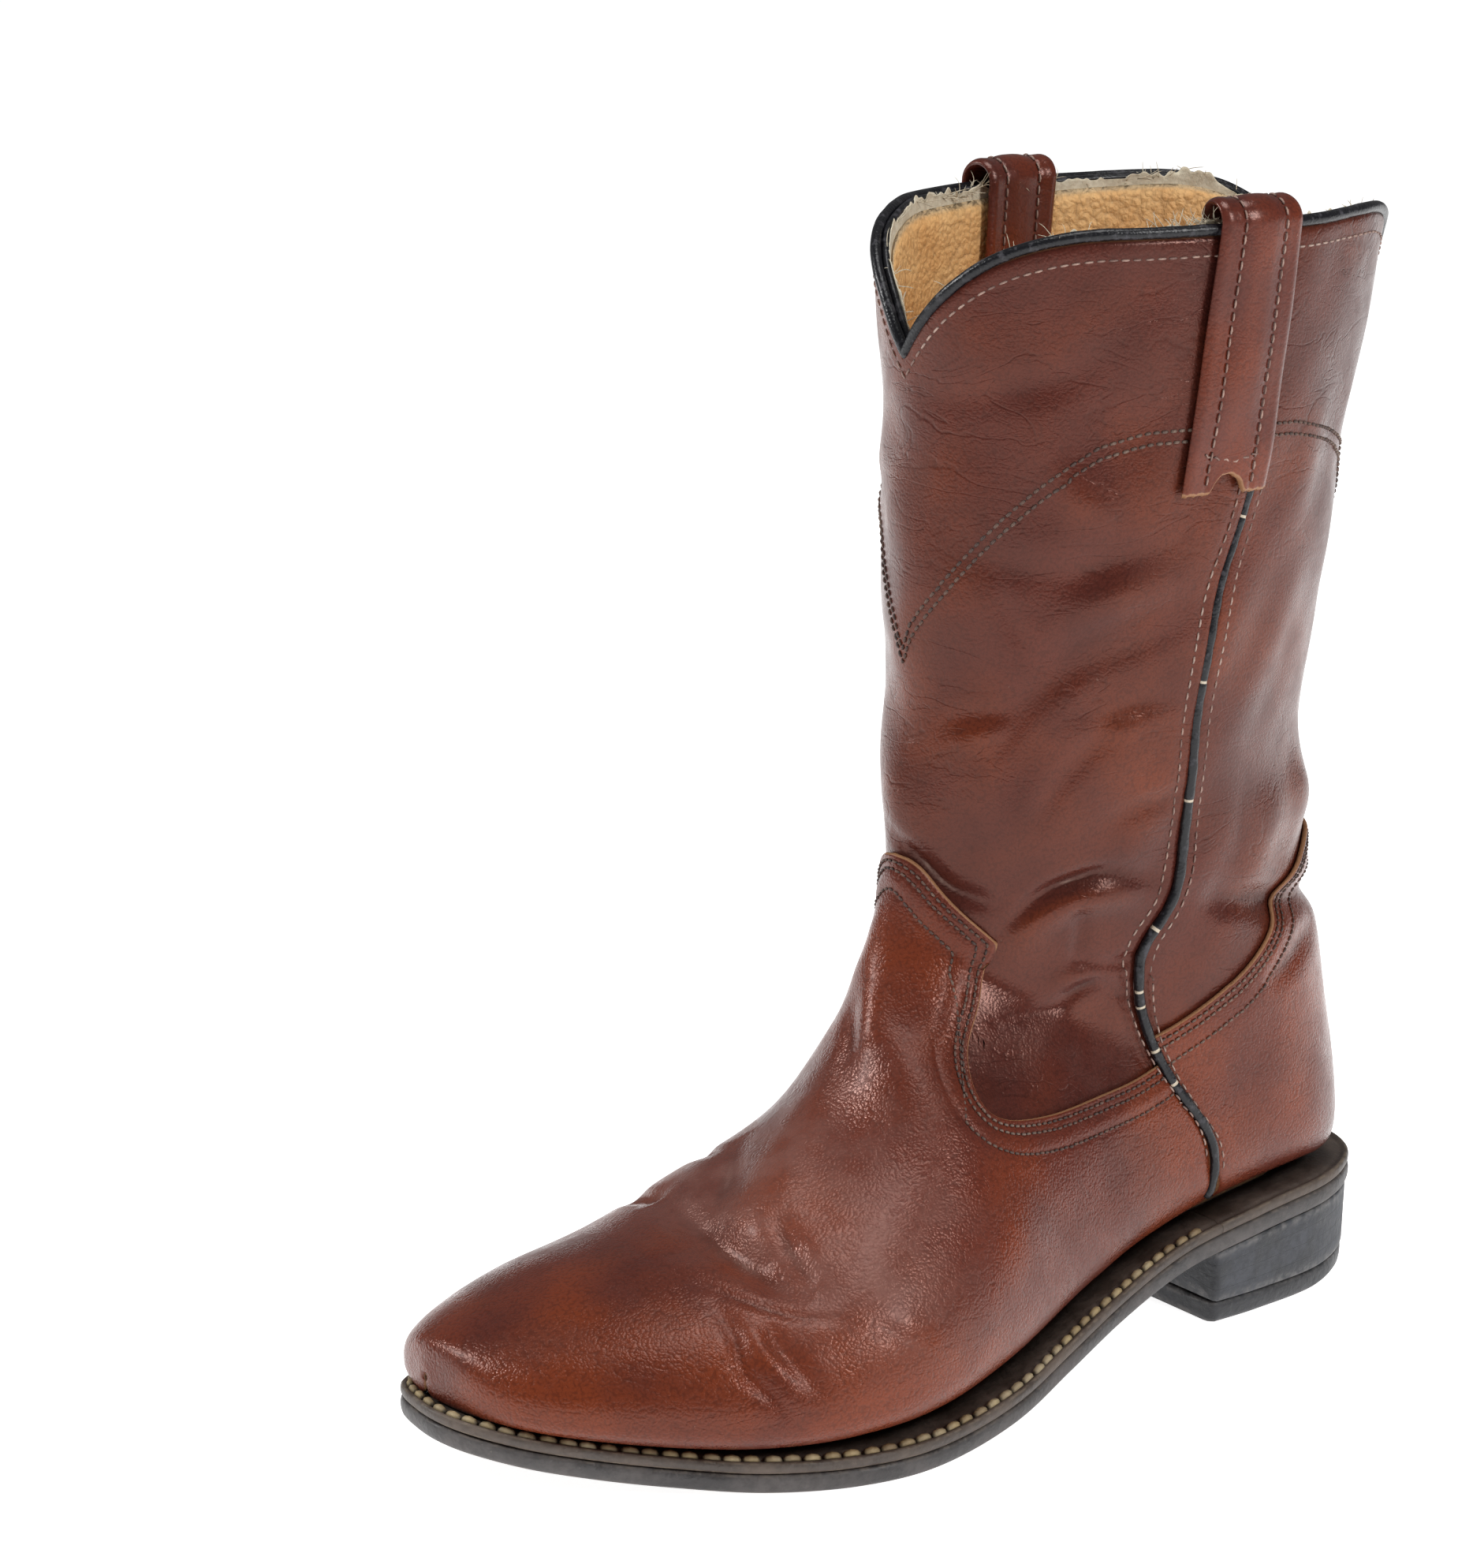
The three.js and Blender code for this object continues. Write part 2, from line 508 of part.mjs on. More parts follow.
const PIECES = {
  outsole: [drilled(outsoleSolid), ...soleLeather],
  welt: [seatRing.intersect(aheadOfY(breast)), ...soleLeather],
  heel_rand: [drilled(seatRing.subtract(aheadOfY(breast + GAP))), ...soleLeather],
  heel_block: [drilled(blockSolid), 0x2a2b2f, 0.7],
  heel_top_lift: [liftSolid, 0x1c1c1e, 0.85],
  cork_filler: [drilled(fillerSolid.subtract(shankSlot)), 0x8a6238, 0.9],
  shank: [shankSolid, 0x8d9095, 0.4, 1],
  insole: [drilled(insoleSolid), ...board],
  heel_sock: [sockSolid, ...liningLeather],
  vamp: [shell(VAMP_AT).intersect(aheadOfSeam).intersect(underVamp(0)).subtract(marginHole), ...vampLeather],
  toe_box: [shell(STIFFENER_AT).intersect(aheadOfY(-TOE_BOX * LAST_LENGTH)).subtract(marginHole), ...board],
  vamp_lining: [
    liningShell.intersect(footLining).intersect(body(STIFFENER_AT[1] + GAP)).subtract(marginHole),
    ...liningLeather,
  ],
  counter: [
    shell(VAMP_AT).intersect(behindSeam).intersect(underCounter(0)).subtract(marginHole), ...vampLeather],
  counter_stiffener: [
    shell(STIFFENER_AT).intersect(behindSeam).intersect(underCounter(LAP + 3)).subtract(marginHole), ...board],
  shaft_front: [shaftShell.intersect(aheadOfSeam).subtract(underVamp(LAP)), ...shaftLeather],
  shaft_back: [shaftShell.intersect(behindSeam).subtract(underCounter(LAP)), ...shaftLeather],
  shaft_lining_front: [legLining.intersect(aheadOfSeam), ...liningLeather],
  shaft_lining_back: [legLining.intersect(behindSeam), ...liningLeather],
  topline_tape_front: [tapeShell.intersect(aheadOfSeam), 0xd9cfb4, 0.95],
  topline_tape_back: [tapeShell.intersect(behindSeam), 0xd9cfb4, 0.95],
  topline_piping: [toplineBead, ...blackLeather],
  side_piping_left: [left(seamBead), ...blackLeather],
  side_piping_right: [right(seamBead), ...blackLeather],
  pull_strap_left: [left(straps), ...shaftLeather],
  pull_strap_right: [right(straps), ...shaftLeather],
};
nails.forEach((solid, i) => { PIECES[`heel_nail_${i + 1}`] = [solid, 0xb08d4a, 0.35, 1]; });

function mesh(name, [solid, color, roughness, metalness = 0]) {
  const { vertProperties, triVerts } = solid.getMesh();
  const geometry = new THREE.BufferGeometry();
  geometry.setAttribute('position', new THREE.BufferAttribute(vertProperties, 3));
  geometry.setIndex(new THREE.BufferAttribute(triVerts, 1));
  geometry.computeVertexNormals();
  const piece = new THREE.Mesh(geometry, new THREE.MeshStandardMaterial({ color, roughness, metalness }));
  piece.name = name;
  return piece;
}

// The origin is on the floor, at the middle of the boot's box.
const boot = new THREE.Group();
for (const [name, piece] of Object.entries(PIECES)) boot.add(mesh(name, piece));
const middle = new THREE.Box3().setFromObject(boot).getCenter(new THREE.Vector3());
boot.position.set(-middle.x, -middle.y, 0);

export default boot;
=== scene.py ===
"""Cowboy boot, left foot, well worn: leather, sole, heel, piping, pull straps, lining and thread."""

import bmesh
import bpy
import numpy as np
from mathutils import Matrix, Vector


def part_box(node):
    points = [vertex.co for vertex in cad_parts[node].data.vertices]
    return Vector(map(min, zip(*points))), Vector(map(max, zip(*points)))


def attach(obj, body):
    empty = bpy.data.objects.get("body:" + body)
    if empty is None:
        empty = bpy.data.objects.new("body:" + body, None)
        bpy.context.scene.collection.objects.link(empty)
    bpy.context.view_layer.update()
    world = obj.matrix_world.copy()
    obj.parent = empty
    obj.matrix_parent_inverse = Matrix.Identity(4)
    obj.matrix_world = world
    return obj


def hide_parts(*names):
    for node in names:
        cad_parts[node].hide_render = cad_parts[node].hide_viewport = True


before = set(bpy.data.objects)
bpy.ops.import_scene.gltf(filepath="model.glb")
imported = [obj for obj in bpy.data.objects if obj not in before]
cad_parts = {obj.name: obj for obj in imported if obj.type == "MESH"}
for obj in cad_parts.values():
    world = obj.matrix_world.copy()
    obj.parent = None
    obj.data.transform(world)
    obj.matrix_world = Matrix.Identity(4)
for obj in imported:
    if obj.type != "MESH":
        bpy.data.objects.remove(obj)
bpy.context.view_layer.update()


# ---------------------------------------------------------------------------------------------
# The room: a plain pale floor, soft boxes and a long-lens camera ahead of the boot's outer side.
# Everything here is outside the object.
floor_reach = 9.0
eye = Vector((0.82785, -0.64727, 0.43763))
sight = Vector((-0.78765, 0.55765, -0.26199))

camera = bpy.data.objects.new("camera", bpy.data.cameras.new("camera"))
camera.data.lens = 100.7
camera.data.sensor_width = 36
camera.location = eye
camera.rotation_euler = sight.to_track_quat("-Z", "Y").to_euler()
bpy.context.scene.collection.objects.link(camera)
bpy.context.scene.camera = camera


def soft_box(name, place, aim, size, power):
    """A square area light at a place, turned to face a point."""
    lamp = bpy.data.lights.new(name, "AREA")
    lamp.shape = "RECTANGLE"
    lamp.size, lamp.size_y = size
    lamp.energy = power
    holder = bpy.data.objects.new(name, lamp)
    holder.location = place
    holder.rotation_euler = (Vector(aim) - Vector(place)).to_track_quat("-Z", "Y").to_euler()
    bpy.context.scene.collection.objects.link(holder)


soft_box("soft_box_front", (-1.0, -1.2, 1.1), (0, -0.05, 0.1), (0.30, 0.30), 17)
soft_box("soft_box_side", (1.35, 0.32, 1.0), (0, 0, 0.12), (0.34, 0.6), 12.5)
soft_box("soft_box_top", (0.15, 0.1, 1.9), (0, 0, 0), (0.8, 0.8), 12.5)

sky = bpy.data.worlds.new("studio")
sky.use_nodes = True
sky.node_tree.nodes["Background"].inputs["Color"].default_value = (1, 1, 1, 1)
sky.node_tree.nodes["Background"].inputs["Strength"].default_value = 0.15
bpy.context.scene.world = sky
bpy.context.scene.view_settings.view_transform = "Standard"


def surface_mesh(name, points, faces, material, **marks):
    """A smooth-shaded mesh from points in metres and index rows, welded where points meet, its faces
    made to agree, which leaves those of the shaft's front and its lining turned inwards. Each mark is
    a number per point kept as an attribute."""
    data = bpy.data.meshes.new(name)
    data.from_pydata(np.asarray(points, float).tolist(), [], np.asarray(faces).tolist())
    for mark, values in marks.items():
        layer = data.attributes.new(mark, "FLOAT", "POINT")
        layer.data.foreach_set("value", np.asarray(values, np.float32).ravel())
    work = bmesh.new()
    work.from_mesh(data)
    bmesh.ops.remove_doubles(work, verts=work.verts, dist=2e-7)
    bmesh.ops.recalc_face_normals(work, faces=work.faces)
    work.to_mesh(data)
    work.free()
    data.polygons.foreach_set("use_smooth", np.full(len(data.polygons), True))
    data.materials.append(material)
    made = bpy.data.objects.new(name, data)
    bpy.context.scene.collection.objects.link(made)
    return made


def grid_faces(rows, columns, around=False):
    """Quads of a grid of rows by columns; around joins the last column to the first."""
    a = np.arange(rows * columns).reshape(rows, columns)
    b = np.roll(a, -1, 1) if around else a[:, 1:]
    a = a if around else a[:, :-1]
    return np.stack([a[:-1], b[:-1], b[1:], a[1:]], -1).reshape(-1, 4)


def finish_of(name, roughness, metallic=0.0, coat=0.0):
    """A new material with its Principled shader's plain values, and its node tree."""
    made = bpy.data.materials.new(name)
    made.use_nodes = True
    shader = made.node_tree.nodes["Principled BSDF"]
    shader.inputs["Roughness"].default_value = roughness
    shader.inputs["Metallic"].default_value = metallic
    shader.inputs["Coat Weight"].default_value = coat
    shader.inputs["Coat Roughness"].default_value = 0.3
    return made, made.node_tree, shader


floor_finish, _, floor_shader = finish_of("floor_paint", 0.75)
floor_shader.inputs["Base Color"].default_value = (0.95, 0.95, 0.95, 1)
floor_shader.inputs["Emission Color"].default_value = (1, 1, 1, 1)
floor_shader.inputs["Emission Strength"].default_value = 0.87
floor = surface_mesh(
    "floor", np.array([[-1, -1, 0], [1, -1, 0], [1, 1, 0], [-1, 1, 0]]) * floor_reach, [[0, 1, 2, 3]],
    floor_finish)


# ---------------------------------------------------------------------------------------------
# The last: the wooden form that the upper is drawn over. Millimetres from the heel's back, toe
# towards -y, the outer side +x. Nothing is shown here; every leather piece lies on this shape.
last_length = 270.0
ball_width = 111.0
ankle_height = 134.0
boot_height = 290.0
shaft_depth = 152.0
shaft_width = 100.0
shaft_axis = -0.266 * last_length
front_dip = 31.0
back_dip = 40.0
welt_thick = 3.0
outsole_thick = 5.0
toe_spring = 10.0
seat_rise = 24.0
feather_gap = 0.3
sole_toe = -273.96

seen_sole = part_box("outsole")
seen_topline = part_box("topline_piping")
shift = np.array([
    500 * (seen_topline[0].x + seen_topline[1].x), 1000 * seen_sole[0].y - sole_toe, 0.0])


def row_frame(points):
    """Last millimetres to metres in the row frame."""
    return (np.asarray(points) + shift) / 1000


def eased(t):
    """0 to 1 with level ends: three t squared less two t cubed."""
    t = np.clip(t, 0, 1)
    return t * t * (3 - 2 * t)


def bed(y):
    """Height of the welt's top: the toe's spring as a square, the heel's rise as an eased step."""
    share = -np.asarray(y) / last_length
    toe = np.maximum(0, (share - 0.717) / 0.3)
    return outsole_thick + welt_thick + toe_spring * toe**2 + seat_rise * eased((0.662 - share) / 0.611)


# Hundredths, toe to heel: front end (share of length, share of ankle height), back end (0 height
# rests on the bed), outer and inner edges (share of ball width), place of the widest, roundness.
foot_rows = np.array([
    [100, 21, 100, 0, -3.5, -14.5, 55, 2.0, 2.6], [99.5, 23.5, 99.5, 0, 6, -20.5, 60, 2.0, 3.0],
    [97.8, 25.5, 97.8, 0, 17.5, -26, 62, 2.0, 3.6], [93.5, 29, 93.5, 0, 30, -32.5, 66, 2.0, 3.6],
    [86.5, 33.5, 86.5, 0, 43, -38, 68, 2.0, 3.6], [78.5, 37.5, 78.5, 0, 54, -40.5, 70, 2.0, 3.6],
    [70.3, 45, 70.3, 0, 59.5, -40.5, 70, 2.0, 3.6], [63.6, 52.5, 62.8, 0, 59.5, -38, 70, 1.9, 3.6],
    [59.6, 60, 54, 0, 55, -34.5, 68, 1.8, 3.6], [57, 68, 44, 0, 47.5, -32, 64, 1.8, 3.6],
    [55.2, 73, 33, 0, 39, -30.5, 60, 1.8, 3.6], [54, 78, 21.5, 0, 34, -31, 60, 1.8, 3.6],
    [53, 82, 11.5, 0, 32, -31.5, 62, 1.8, 3.6], [52.4, 85.5, 2.8, 0, 31, -31.5, 64, 1.8, 3.0],
    [52, 88, -0.8, 29.5, 31.5, -32, 64, 1.8, 2.6], [51.6, 91, -0.8, 46, 33, -33.5, 62, 1.8, 2.2],
    [51.3, 95, 0.6, 64, 34, -34, 58, 1.8, 2.1], [51.2, 100, 2, 81, 35, -35, 54, 1.8, 2.0]])
# Ankle to above the topline: the same, off the shaft's axis in half depths and up the shaft.
shaft_rows = np.array([
    [-87, 10, 80.5, 6, 41.5, -41.5, 50, 1.8, 1.9], [-83, 26, 79, 24, 43.5, -43.5, 50, 1.8, 1.9],
    [-84.5, 45, 88, 44, 45.5, -45.5, 50, 1.8, 1.9], [-83.5, 64, 92, 63, 47.5, -47.5, 50, 1.8, 1.9],
    [-86, 83, 101, 81, 49, -49, 50, 1.8, 1.9], [-90, 103, 109.5, 101, 50, -50, 50, 1.8, 1.9],
    [-94, 118, 114, 118, 50.5, -50.5, 50, 1.8, 1.9]])
last_on_bed = 13


def foot_place(share, height):
    """Side-view place (y, z) from hundredths of the last's length and of the ankle's height."""
    return np.stack([-np.asarray(share) * last_length / 100, np.asarray(height) * ankle_height / 100], -1)


def shaft_place(share, height):
    """Side-view place from hundredths of half the shaft's depth off its axis, and of the way from
    ankle to topline."""
    rise = (boot_height - ankle_height) / 100
    return np.stack(
        [shaft_axis + np.asarray(share) * shaft_depth / 200, ankle_height + np.asarray(height) * rise], -1)


def section_table():
    """Front end, back end, middle, half width, widest place and both roundnesses of each section,
    with a point ahead of the toe added so that the upper closes there."""
    parts = []
    for rows, place, width in ((foot_rows, foot_place, ball_width), (shaft_rows, shaft_place, shaft_width)):
        front, back = place(rows[:, 0], rows[:, 1]), place(rows[:, 2], rows[:, 3])
        lying = rows[:, 3] == 0
        back[lying, 1] = bed(back[lying, 0]) + feather_gap
        outer, inner = rows[:, 4] * width / 100, rows[:, 5] * width / 100
        parts.append(np.column_stack([
            front, back, (outer + inner) / 2, (outer - inner) / 2, rows[:, 6] / 100, rows[:, 7:]]))
    table = np.vstack(parts)
    tip = table[0].copy()
    tip[:6] = [-last_length - 1.0, 22.8, -last_length - 1.0, 22.8, table[0, 4], 0]
    return np.vstack([tip, table])


sections = section_table()
final_section = len(sections) - 2
bends = np.zeros_like(sections)
bends[1:-1] = np.linalg.solve(
    4 * np.eye(len(sections) - 2) + np.eye(len(sections) - 2, k=1) + np.eye(len(sections) - 2, k=-1),
    6 * np.diff(sections, 2, axis=0))


def section_at(v):
    """The section values at v by the natural cubic through the rows: the straight mix, less the two
    ends' second slopes weighted by t (1 - t) (2 - t) / 6 and t (1 - t) (1 + t) / 6."""
    v = np.clip(v, -1, final_section)
    i = np.minimum(np.floor(v + 1).astype(int), len(sections) - 2)
    t = (v + 1 - i)[..., None]
    got = sections[i] * (1 - t) + sections[i + 1] * t
    got = got - t * (1 - t) * ((2 - t) * bends[i] + (1 + t) * bends[i + 1]) / 6
    lying = (v >= 0) & (v <= last_on_bed)
    got[..., 3] = np.where(lying, bed(got[..., 2]) + feather_gap, got[..., 3])
    return got


def upper(turn, v):
    """A point on the outside of the last. turn goes round a section: 0 in front, + on the outer
    side, pi at the back. Across and down follow the oval |across|^n + |down|^n = 1."""
    turn, v = np.broadcast_arrays(turn, v)
    s = section_at(v)
    ahead = np.abs(turn) < np.pi / 2
    n = np.where(ahead, s[..., 7], s[..., 8])
    sine, cosine = np.abs(np.sin(turn)) + 1e-9, np.abs(np.cos(turn)) + 1e-9
    size = (sine**n + cosine**n) ** (1 / n)
    out, down, widest = sine / size, cosine / size, s[..., 6]
    share = np.where(ahead, widest * (1 - down), widest + (1 - widest) * down)
    y = s[..., 0] + (s[..., 2] - s[..., 0]) * share
    z = s[..., 1] + (s[..., 3] - s[..., 1]) * share
    return np.stack([s[..., 4] + np.sign(turn) * s[..., 5] * out, y, z], -1)


def outward(turn, v):
    """Unit normal of the last: the cross product of its two slopes."""
    step = 0.012
    v = np.clip(v, -0.93, final_section - step)
    up = upper(turn, v + step) - upper(turn, v - step)
    round_ = upper(turn + step, v) - upper(turn - step, v)
    normal = np.cross(round_, up)
    return normal / (np.linalg.norm(normal, axis=-1, keepdims=True) + 1e-12)


def run_along(points):
    """Length along a path from its first point to each of its points."""
    return np.append(0, np.cumsum(np.linalg.norm(np.diff(points, axis=0), axis=1)))


def read_at(at, run, values):
    """Each column of values, known along run, read at other places along it."""
    return np.stack([np.interp(at, run, column) for column in values.T], -1)


def between(a, b, c, d, t):
    """Catmull-Rom from b to c: half of 2b + (c - a) t + (2a - 5b + 4c - d) t squared
    + (3b - a - 3c + d) t cubed."""
    return 0.5 * (2 * b + (c - a) * t + (2 * a - 5 * b + 4 * c - d) * t**2 + (3 * b - a - 3 * c + d) * t**3)


def curve_through(points, steps):
    """A Catmull-Rom curve through points, with so many steps between each two."""
    p = np.asarray(points, float)
    p = np.vstack([2 * p[0] - p[1], p, 2 * p[-1] - p[-2]])
    t = (np.arange(steps) / steps)[None, :, None]
    a, b, c, d = (p[k:len(p) - 3 + k][:, None, :] for k in range(4))
    return np.vstack([between(a, b, c, d, t).reshape(-1, p.shape[1]), p[-2]])


sampled_v = np.linspace(-1, final_section, 2600)
sampled_sections = section_at(sampled_v)


def on_side(line):
    """turn and v of side-view points (y, z) on the outer side: the section line that passes through
    a point gives v, and how far along it the point lies gives turn."""
    line = np.asarray(line, float)
    front, back = sampled_sections[:, 0:2], sampled_sections[:, 2:4]
    run = back - front
    off = line[:, None, :] - front[None]
    side = run[None, :, 0] * off[..., 1] - run[None, :, 1] * off[..., 0]
    along = (off * run[None]).sum(-1) / ((run**2).sum(-1)[None] + 1e-9)
    flips = (side[:, :-1] * side[:, 1:] <= 0) & (along[:, :-1] > -0.5) & (along[:, :-1] < 1.4)
    flips[:, : np.searchsorted(sampled_v, 2)] = False
    k = np.argmax(flips, 1)
    rows = np.arange(len(line))
    t = side[rows, k] / (side[rows, k] - side[rows, k + 1] + 1e-12)
    v = sampled_v[k] + t * (sampled_v[1] - sampled_v[0])
    share = np.clip(along[rows, k] * (1 - t) + along[rows, k + 1] * t, 0, 1)
    s = section_at(v)
    widest = s[:, 6]
    ahead = share < widest
    n = np.where(ahead, s[:, 7], s[:, 8])
    down = np.where(ahead, 1 - share / widest, (share - widest) / (1 - widest))
    out = (1 - np.clip(down, 0, 1) ** n) ** (1 / n)
    angle = np.arctan2(out, down)
    return np.where(ahead, angle, np.pi - angle), v


def nearest(points, path):
    """Distance from points to a path and how far along the path, 0 to 1, the nearest place lies."""
    start, run = path[:-1], np.diff(path, axis=0)
    shape = points.shape[:-1]
    flat = points.reshape(-1, 3)
    best, where = np.full(len(flat), 1e9), np.zeros(len(flat))
    for k in range(0, len(flat), 20000):
        off = flat[k:k + 20000, None, :] - start[None]
        t = np.clip((off * run[None]).sum(-1) / ((run**2).sum(-1) + 1e-12), 0, 1)
        gap = np.linalg.norm(off - t[..., None] * run[None], axis=-1)
        i = gap.argmin(1)
        rows = np.arange(len(i))
        best[k:k + 20000] = gap[rows, i]
        where[k:k + 20000] = (i + t[rows, i]) / len(run)
    return best.reshape(shape), where.reshape(shape)


def at_height(turn, height):
    """v at which each turn of the shaft reaches height(point), by halving."""
    low, high = np.full(np.shape(turn), 14.0), np.full(np.shape(turn), float(final_section))
    for _ in range(26):
        middle = (low + high) / 2
        p = upper(turn, middle)
        under = p[..., 2] < height(p)
        low, high = np.where(under, middle, low), np.where(under, high, middle)
    return (low + high) / 2


def topline(p):
    """Height of the topline over a point: level sides, dipping to a V in front and behind as a
    power of the distance left to the middle."""
    dip = np.where(p[..., 1] < shaft_axis, front_dip, back_dip)
    return boot_height - dip * np.clip(1 - np.abs(p[..., 0]) / (0.41 * shaft_width), 0, 1) ** 1.85


# Side-view lines of the cut pieces.
seam_line = curve_through(np.vstack([
    foot_place([21.8, 21.6, 22.5, 27, 30.5, 31, 28], [24, 30, 40, 53, 68, 80, 94]),
    shaft_place([-5, 0, 11, 19, 24], [22, 42, 60, 100, 125])]), 10)
vamp_front = curve_through(foot_place([56, 51.5, 48.6, 44.5], [103, 100.5, 92.5, 84]), 12)
vamp_scoop = curve_through(foot_place(
    [44.5, 46.5, 49.6, 50.4, 48.5, 43, 36.5, 29.5, 20], [84, 74, 66, 59, 55, 53.3, 54.2, 57, 66]), 12)
counter_line = curve_through(foot_place(
    [31, 26, 18.5, 12.5, 6, -4], [59, 63.5, 73.5, 84.5, 92.5, 97]), 12)

seam_turns, seam_vs = on_side(seam_line)
seam_order = np.argsort(seam_vs)
seam_turns, seam_vs = seam_turns[seam_order], seam_vs[seam_order]
feather_turn = np.pi - 0.42
seam_foot_v = 11.2


def seam_turn(v):
    """turn of the side seam at v."""
    return np.interp(v, seam_vs, seam_turns)


def bottom_turn(v):
    """turn of a front piece's side edge at v: the feather up to the seam's foot, then the seam."""
    mix = eased((np.asarray(v) - seam_foot_v + 0.5) / 1.0)
    return feather_turn * (1 - mix) + np.minimum(seam_turn(v), feather_turn) * mix


# ---------------------------------------------------------------------------------------------
# Wear of the upper: folds that walking has set in the leather, broad slackness of the shaft, and
# the burnish of polish. A fold is a dent, or with a negative depth a ridge, along a line on the last.
outer_folds = [
    # forepart: across the ball
    (0.7, 1.5, [(-24, -214, 42), (3, -218, 47), (20, -218, 46), (35, -213, 45), (49, -205, 43), (58, -195, 42),
                (64, -187, 40), (69, -181, 34)]),
    (3.2, 5.0, [(-16, -199, 53), (1, -203, 53), (12, -204, 52), (22, -205, 51), (32, -204, 50), (41, -202, 48),
                (50, -197, 47)]),
    (-2.2, 8.0, [(0, -160, 78), (9, -174, 68), (18, -185, 62), (27, -194, 56), (36, -197, 53)]),
    (1.8, 6.0, [(-16, -176, 66), (-8, -183, 63), (2, -191, 59), (10, -200, 54)]),
    (1.3, 3.5, [(25, -190, 58), (31, -194, 55), (39, -196, 52), (48, -196, 48)]),
    (1.3, 2.0, [(35, -217, 43), (46, -218, 38), (52, -220, 33), (58, -217, 28), (62, -213, 22),
                (65, -206, 14)]),
    (-0.9, 3.5, [(44, -213, 41), (51, -214, 36), (57, -211, 31)]),
    (1.2, 2.6, [(46, -211, 42), (54, -211, 37), (60, -208, 32), (64, -205, 26)]),
    (1.3, 2.4, [(62, -188, 42), (68, -182, 36), (71, -178, 30)]),
    (1.0, 2.0, [(65, -162, 46), (69, -155, 37), (69, -152, 32)]),
    (-1.2, 5.0, [(2, -148, 104), (8, -150, 97), (13, -155, 90)]),
    (1.0, 3.5, [(-4, -152, 96), (3, -154, 92), (9, -159, 84)]),
    # ankle
    (1.9, 2.6, [(22, -120, 115), (28, -112, 124), (32, -103, 128), (35, -95, 129), (38, -82, 126)]),
    (-1.5, 4.0, [(23, -118, 111), (28, -111, 118), (32, -103, 122), (35, -94, 123), (37, -84, 121)]),
    (1.3, 2.2, [(29, -101, 106), (32, -95, 104), (34, -89, 104), (36, -82, 106)]),
    (1.1, 2.2, [(24, -122, 93), (24, -106, 94), (28, -99, 98), (31, -94, 99), (32, -88, 95), (32, -80, 90)]),
    (-0.8, 3.0, [(25, -108, 99), (30, -98, 102), (33, -90, 100)]),
    (0.9, 1.8, [(31, -97, 79), (28, -87, 80), (29, -80, 83), (31, -76, 83)]),
    (1.0, 1.8, [(31, -103, 121), (31, -101, 114), (30, -101, 108), (31, -98, 104)]),
    (1.7, 3.0, [(-4, -138, 140), (7, -136, 133), (14, -131, 126), (22, -122, 122)]),
    (1.2, 4.0, [(38, -45, 92), (35, -36, 95), (30, -26, 99), (22, -14, 102)]),
    (3.0, 4.5, [(39, -68, 120), (38, -55, 117), (35, -38, 113), (27, -22, 110), (12, -9, 108), (-10, -9, 108)]),
    (-2.2, 9.0, [(39, -58, 136), (33, -36, 137), (22, -18, 136), (8, -10, 134), (-10, -10, 134)]),
    # shaft
    (1.1, 4.5, [(27, -116, 181), (33, -108, 188), (37, -99, 193), (41, -90, 197), (43, -78, 198)]),
    (-1.2, 6.0, [(26, -118, 189), (33, -108, 197), (38, -98, 202), (43, -84, 205)]),
    (1.0, 3.2, [(20, -123, 173), (28, -115, 178), (35, -103, 185), (40, -93, 189), (43, -81, 193)]),
    (0.9, 2.6, [(10, -131, 169), (18, -126, 171), (24, -120, 172), (30, -111, 176)]),
    (-0.9, 3.0, [(13, -130, 163), (18, -126, 167), (23, -121, 171)]),
    (0.7, 2.0, [(21, -123, 161), (24, -120, 167), (27, -117, 171)]),
    (1.0, 2.6, [(34, -104, 167), (37, -97, 172), (40, -91, 174), (42, -82, 174)]),
    (-0.8, 3.0, [(31, -110, 166), (36, -101, 168), (40, -91, 169)]),
    (0.8, 4.5, [(0, -134, 250), (15, -129, 251), (24, -122, 253), (33, -112, 256), (38, -102, 263)]),
    (0.9, 4.5, [(16, -128, 212), (25, -121, 209), (32, -110, 208), (38, -101, 210), (43, -88, 214)]),
    (1.2, 2.8, [(36, -97, 144), (39, -87, 147), (41, -78, 148)]),
    (0.9, 3.4, [(28, -116, 142), (31, -110, 154), (34, -104, 162), (38, -97, 170)]),
    (0.7, 2.0, [(26, -119, 190), (24, -121, 197), (23, -123, 204)]),
    (-1.0, 5.0, [(30, -114, 236), (34, -108, 226), (38, -99, 220)]),
]
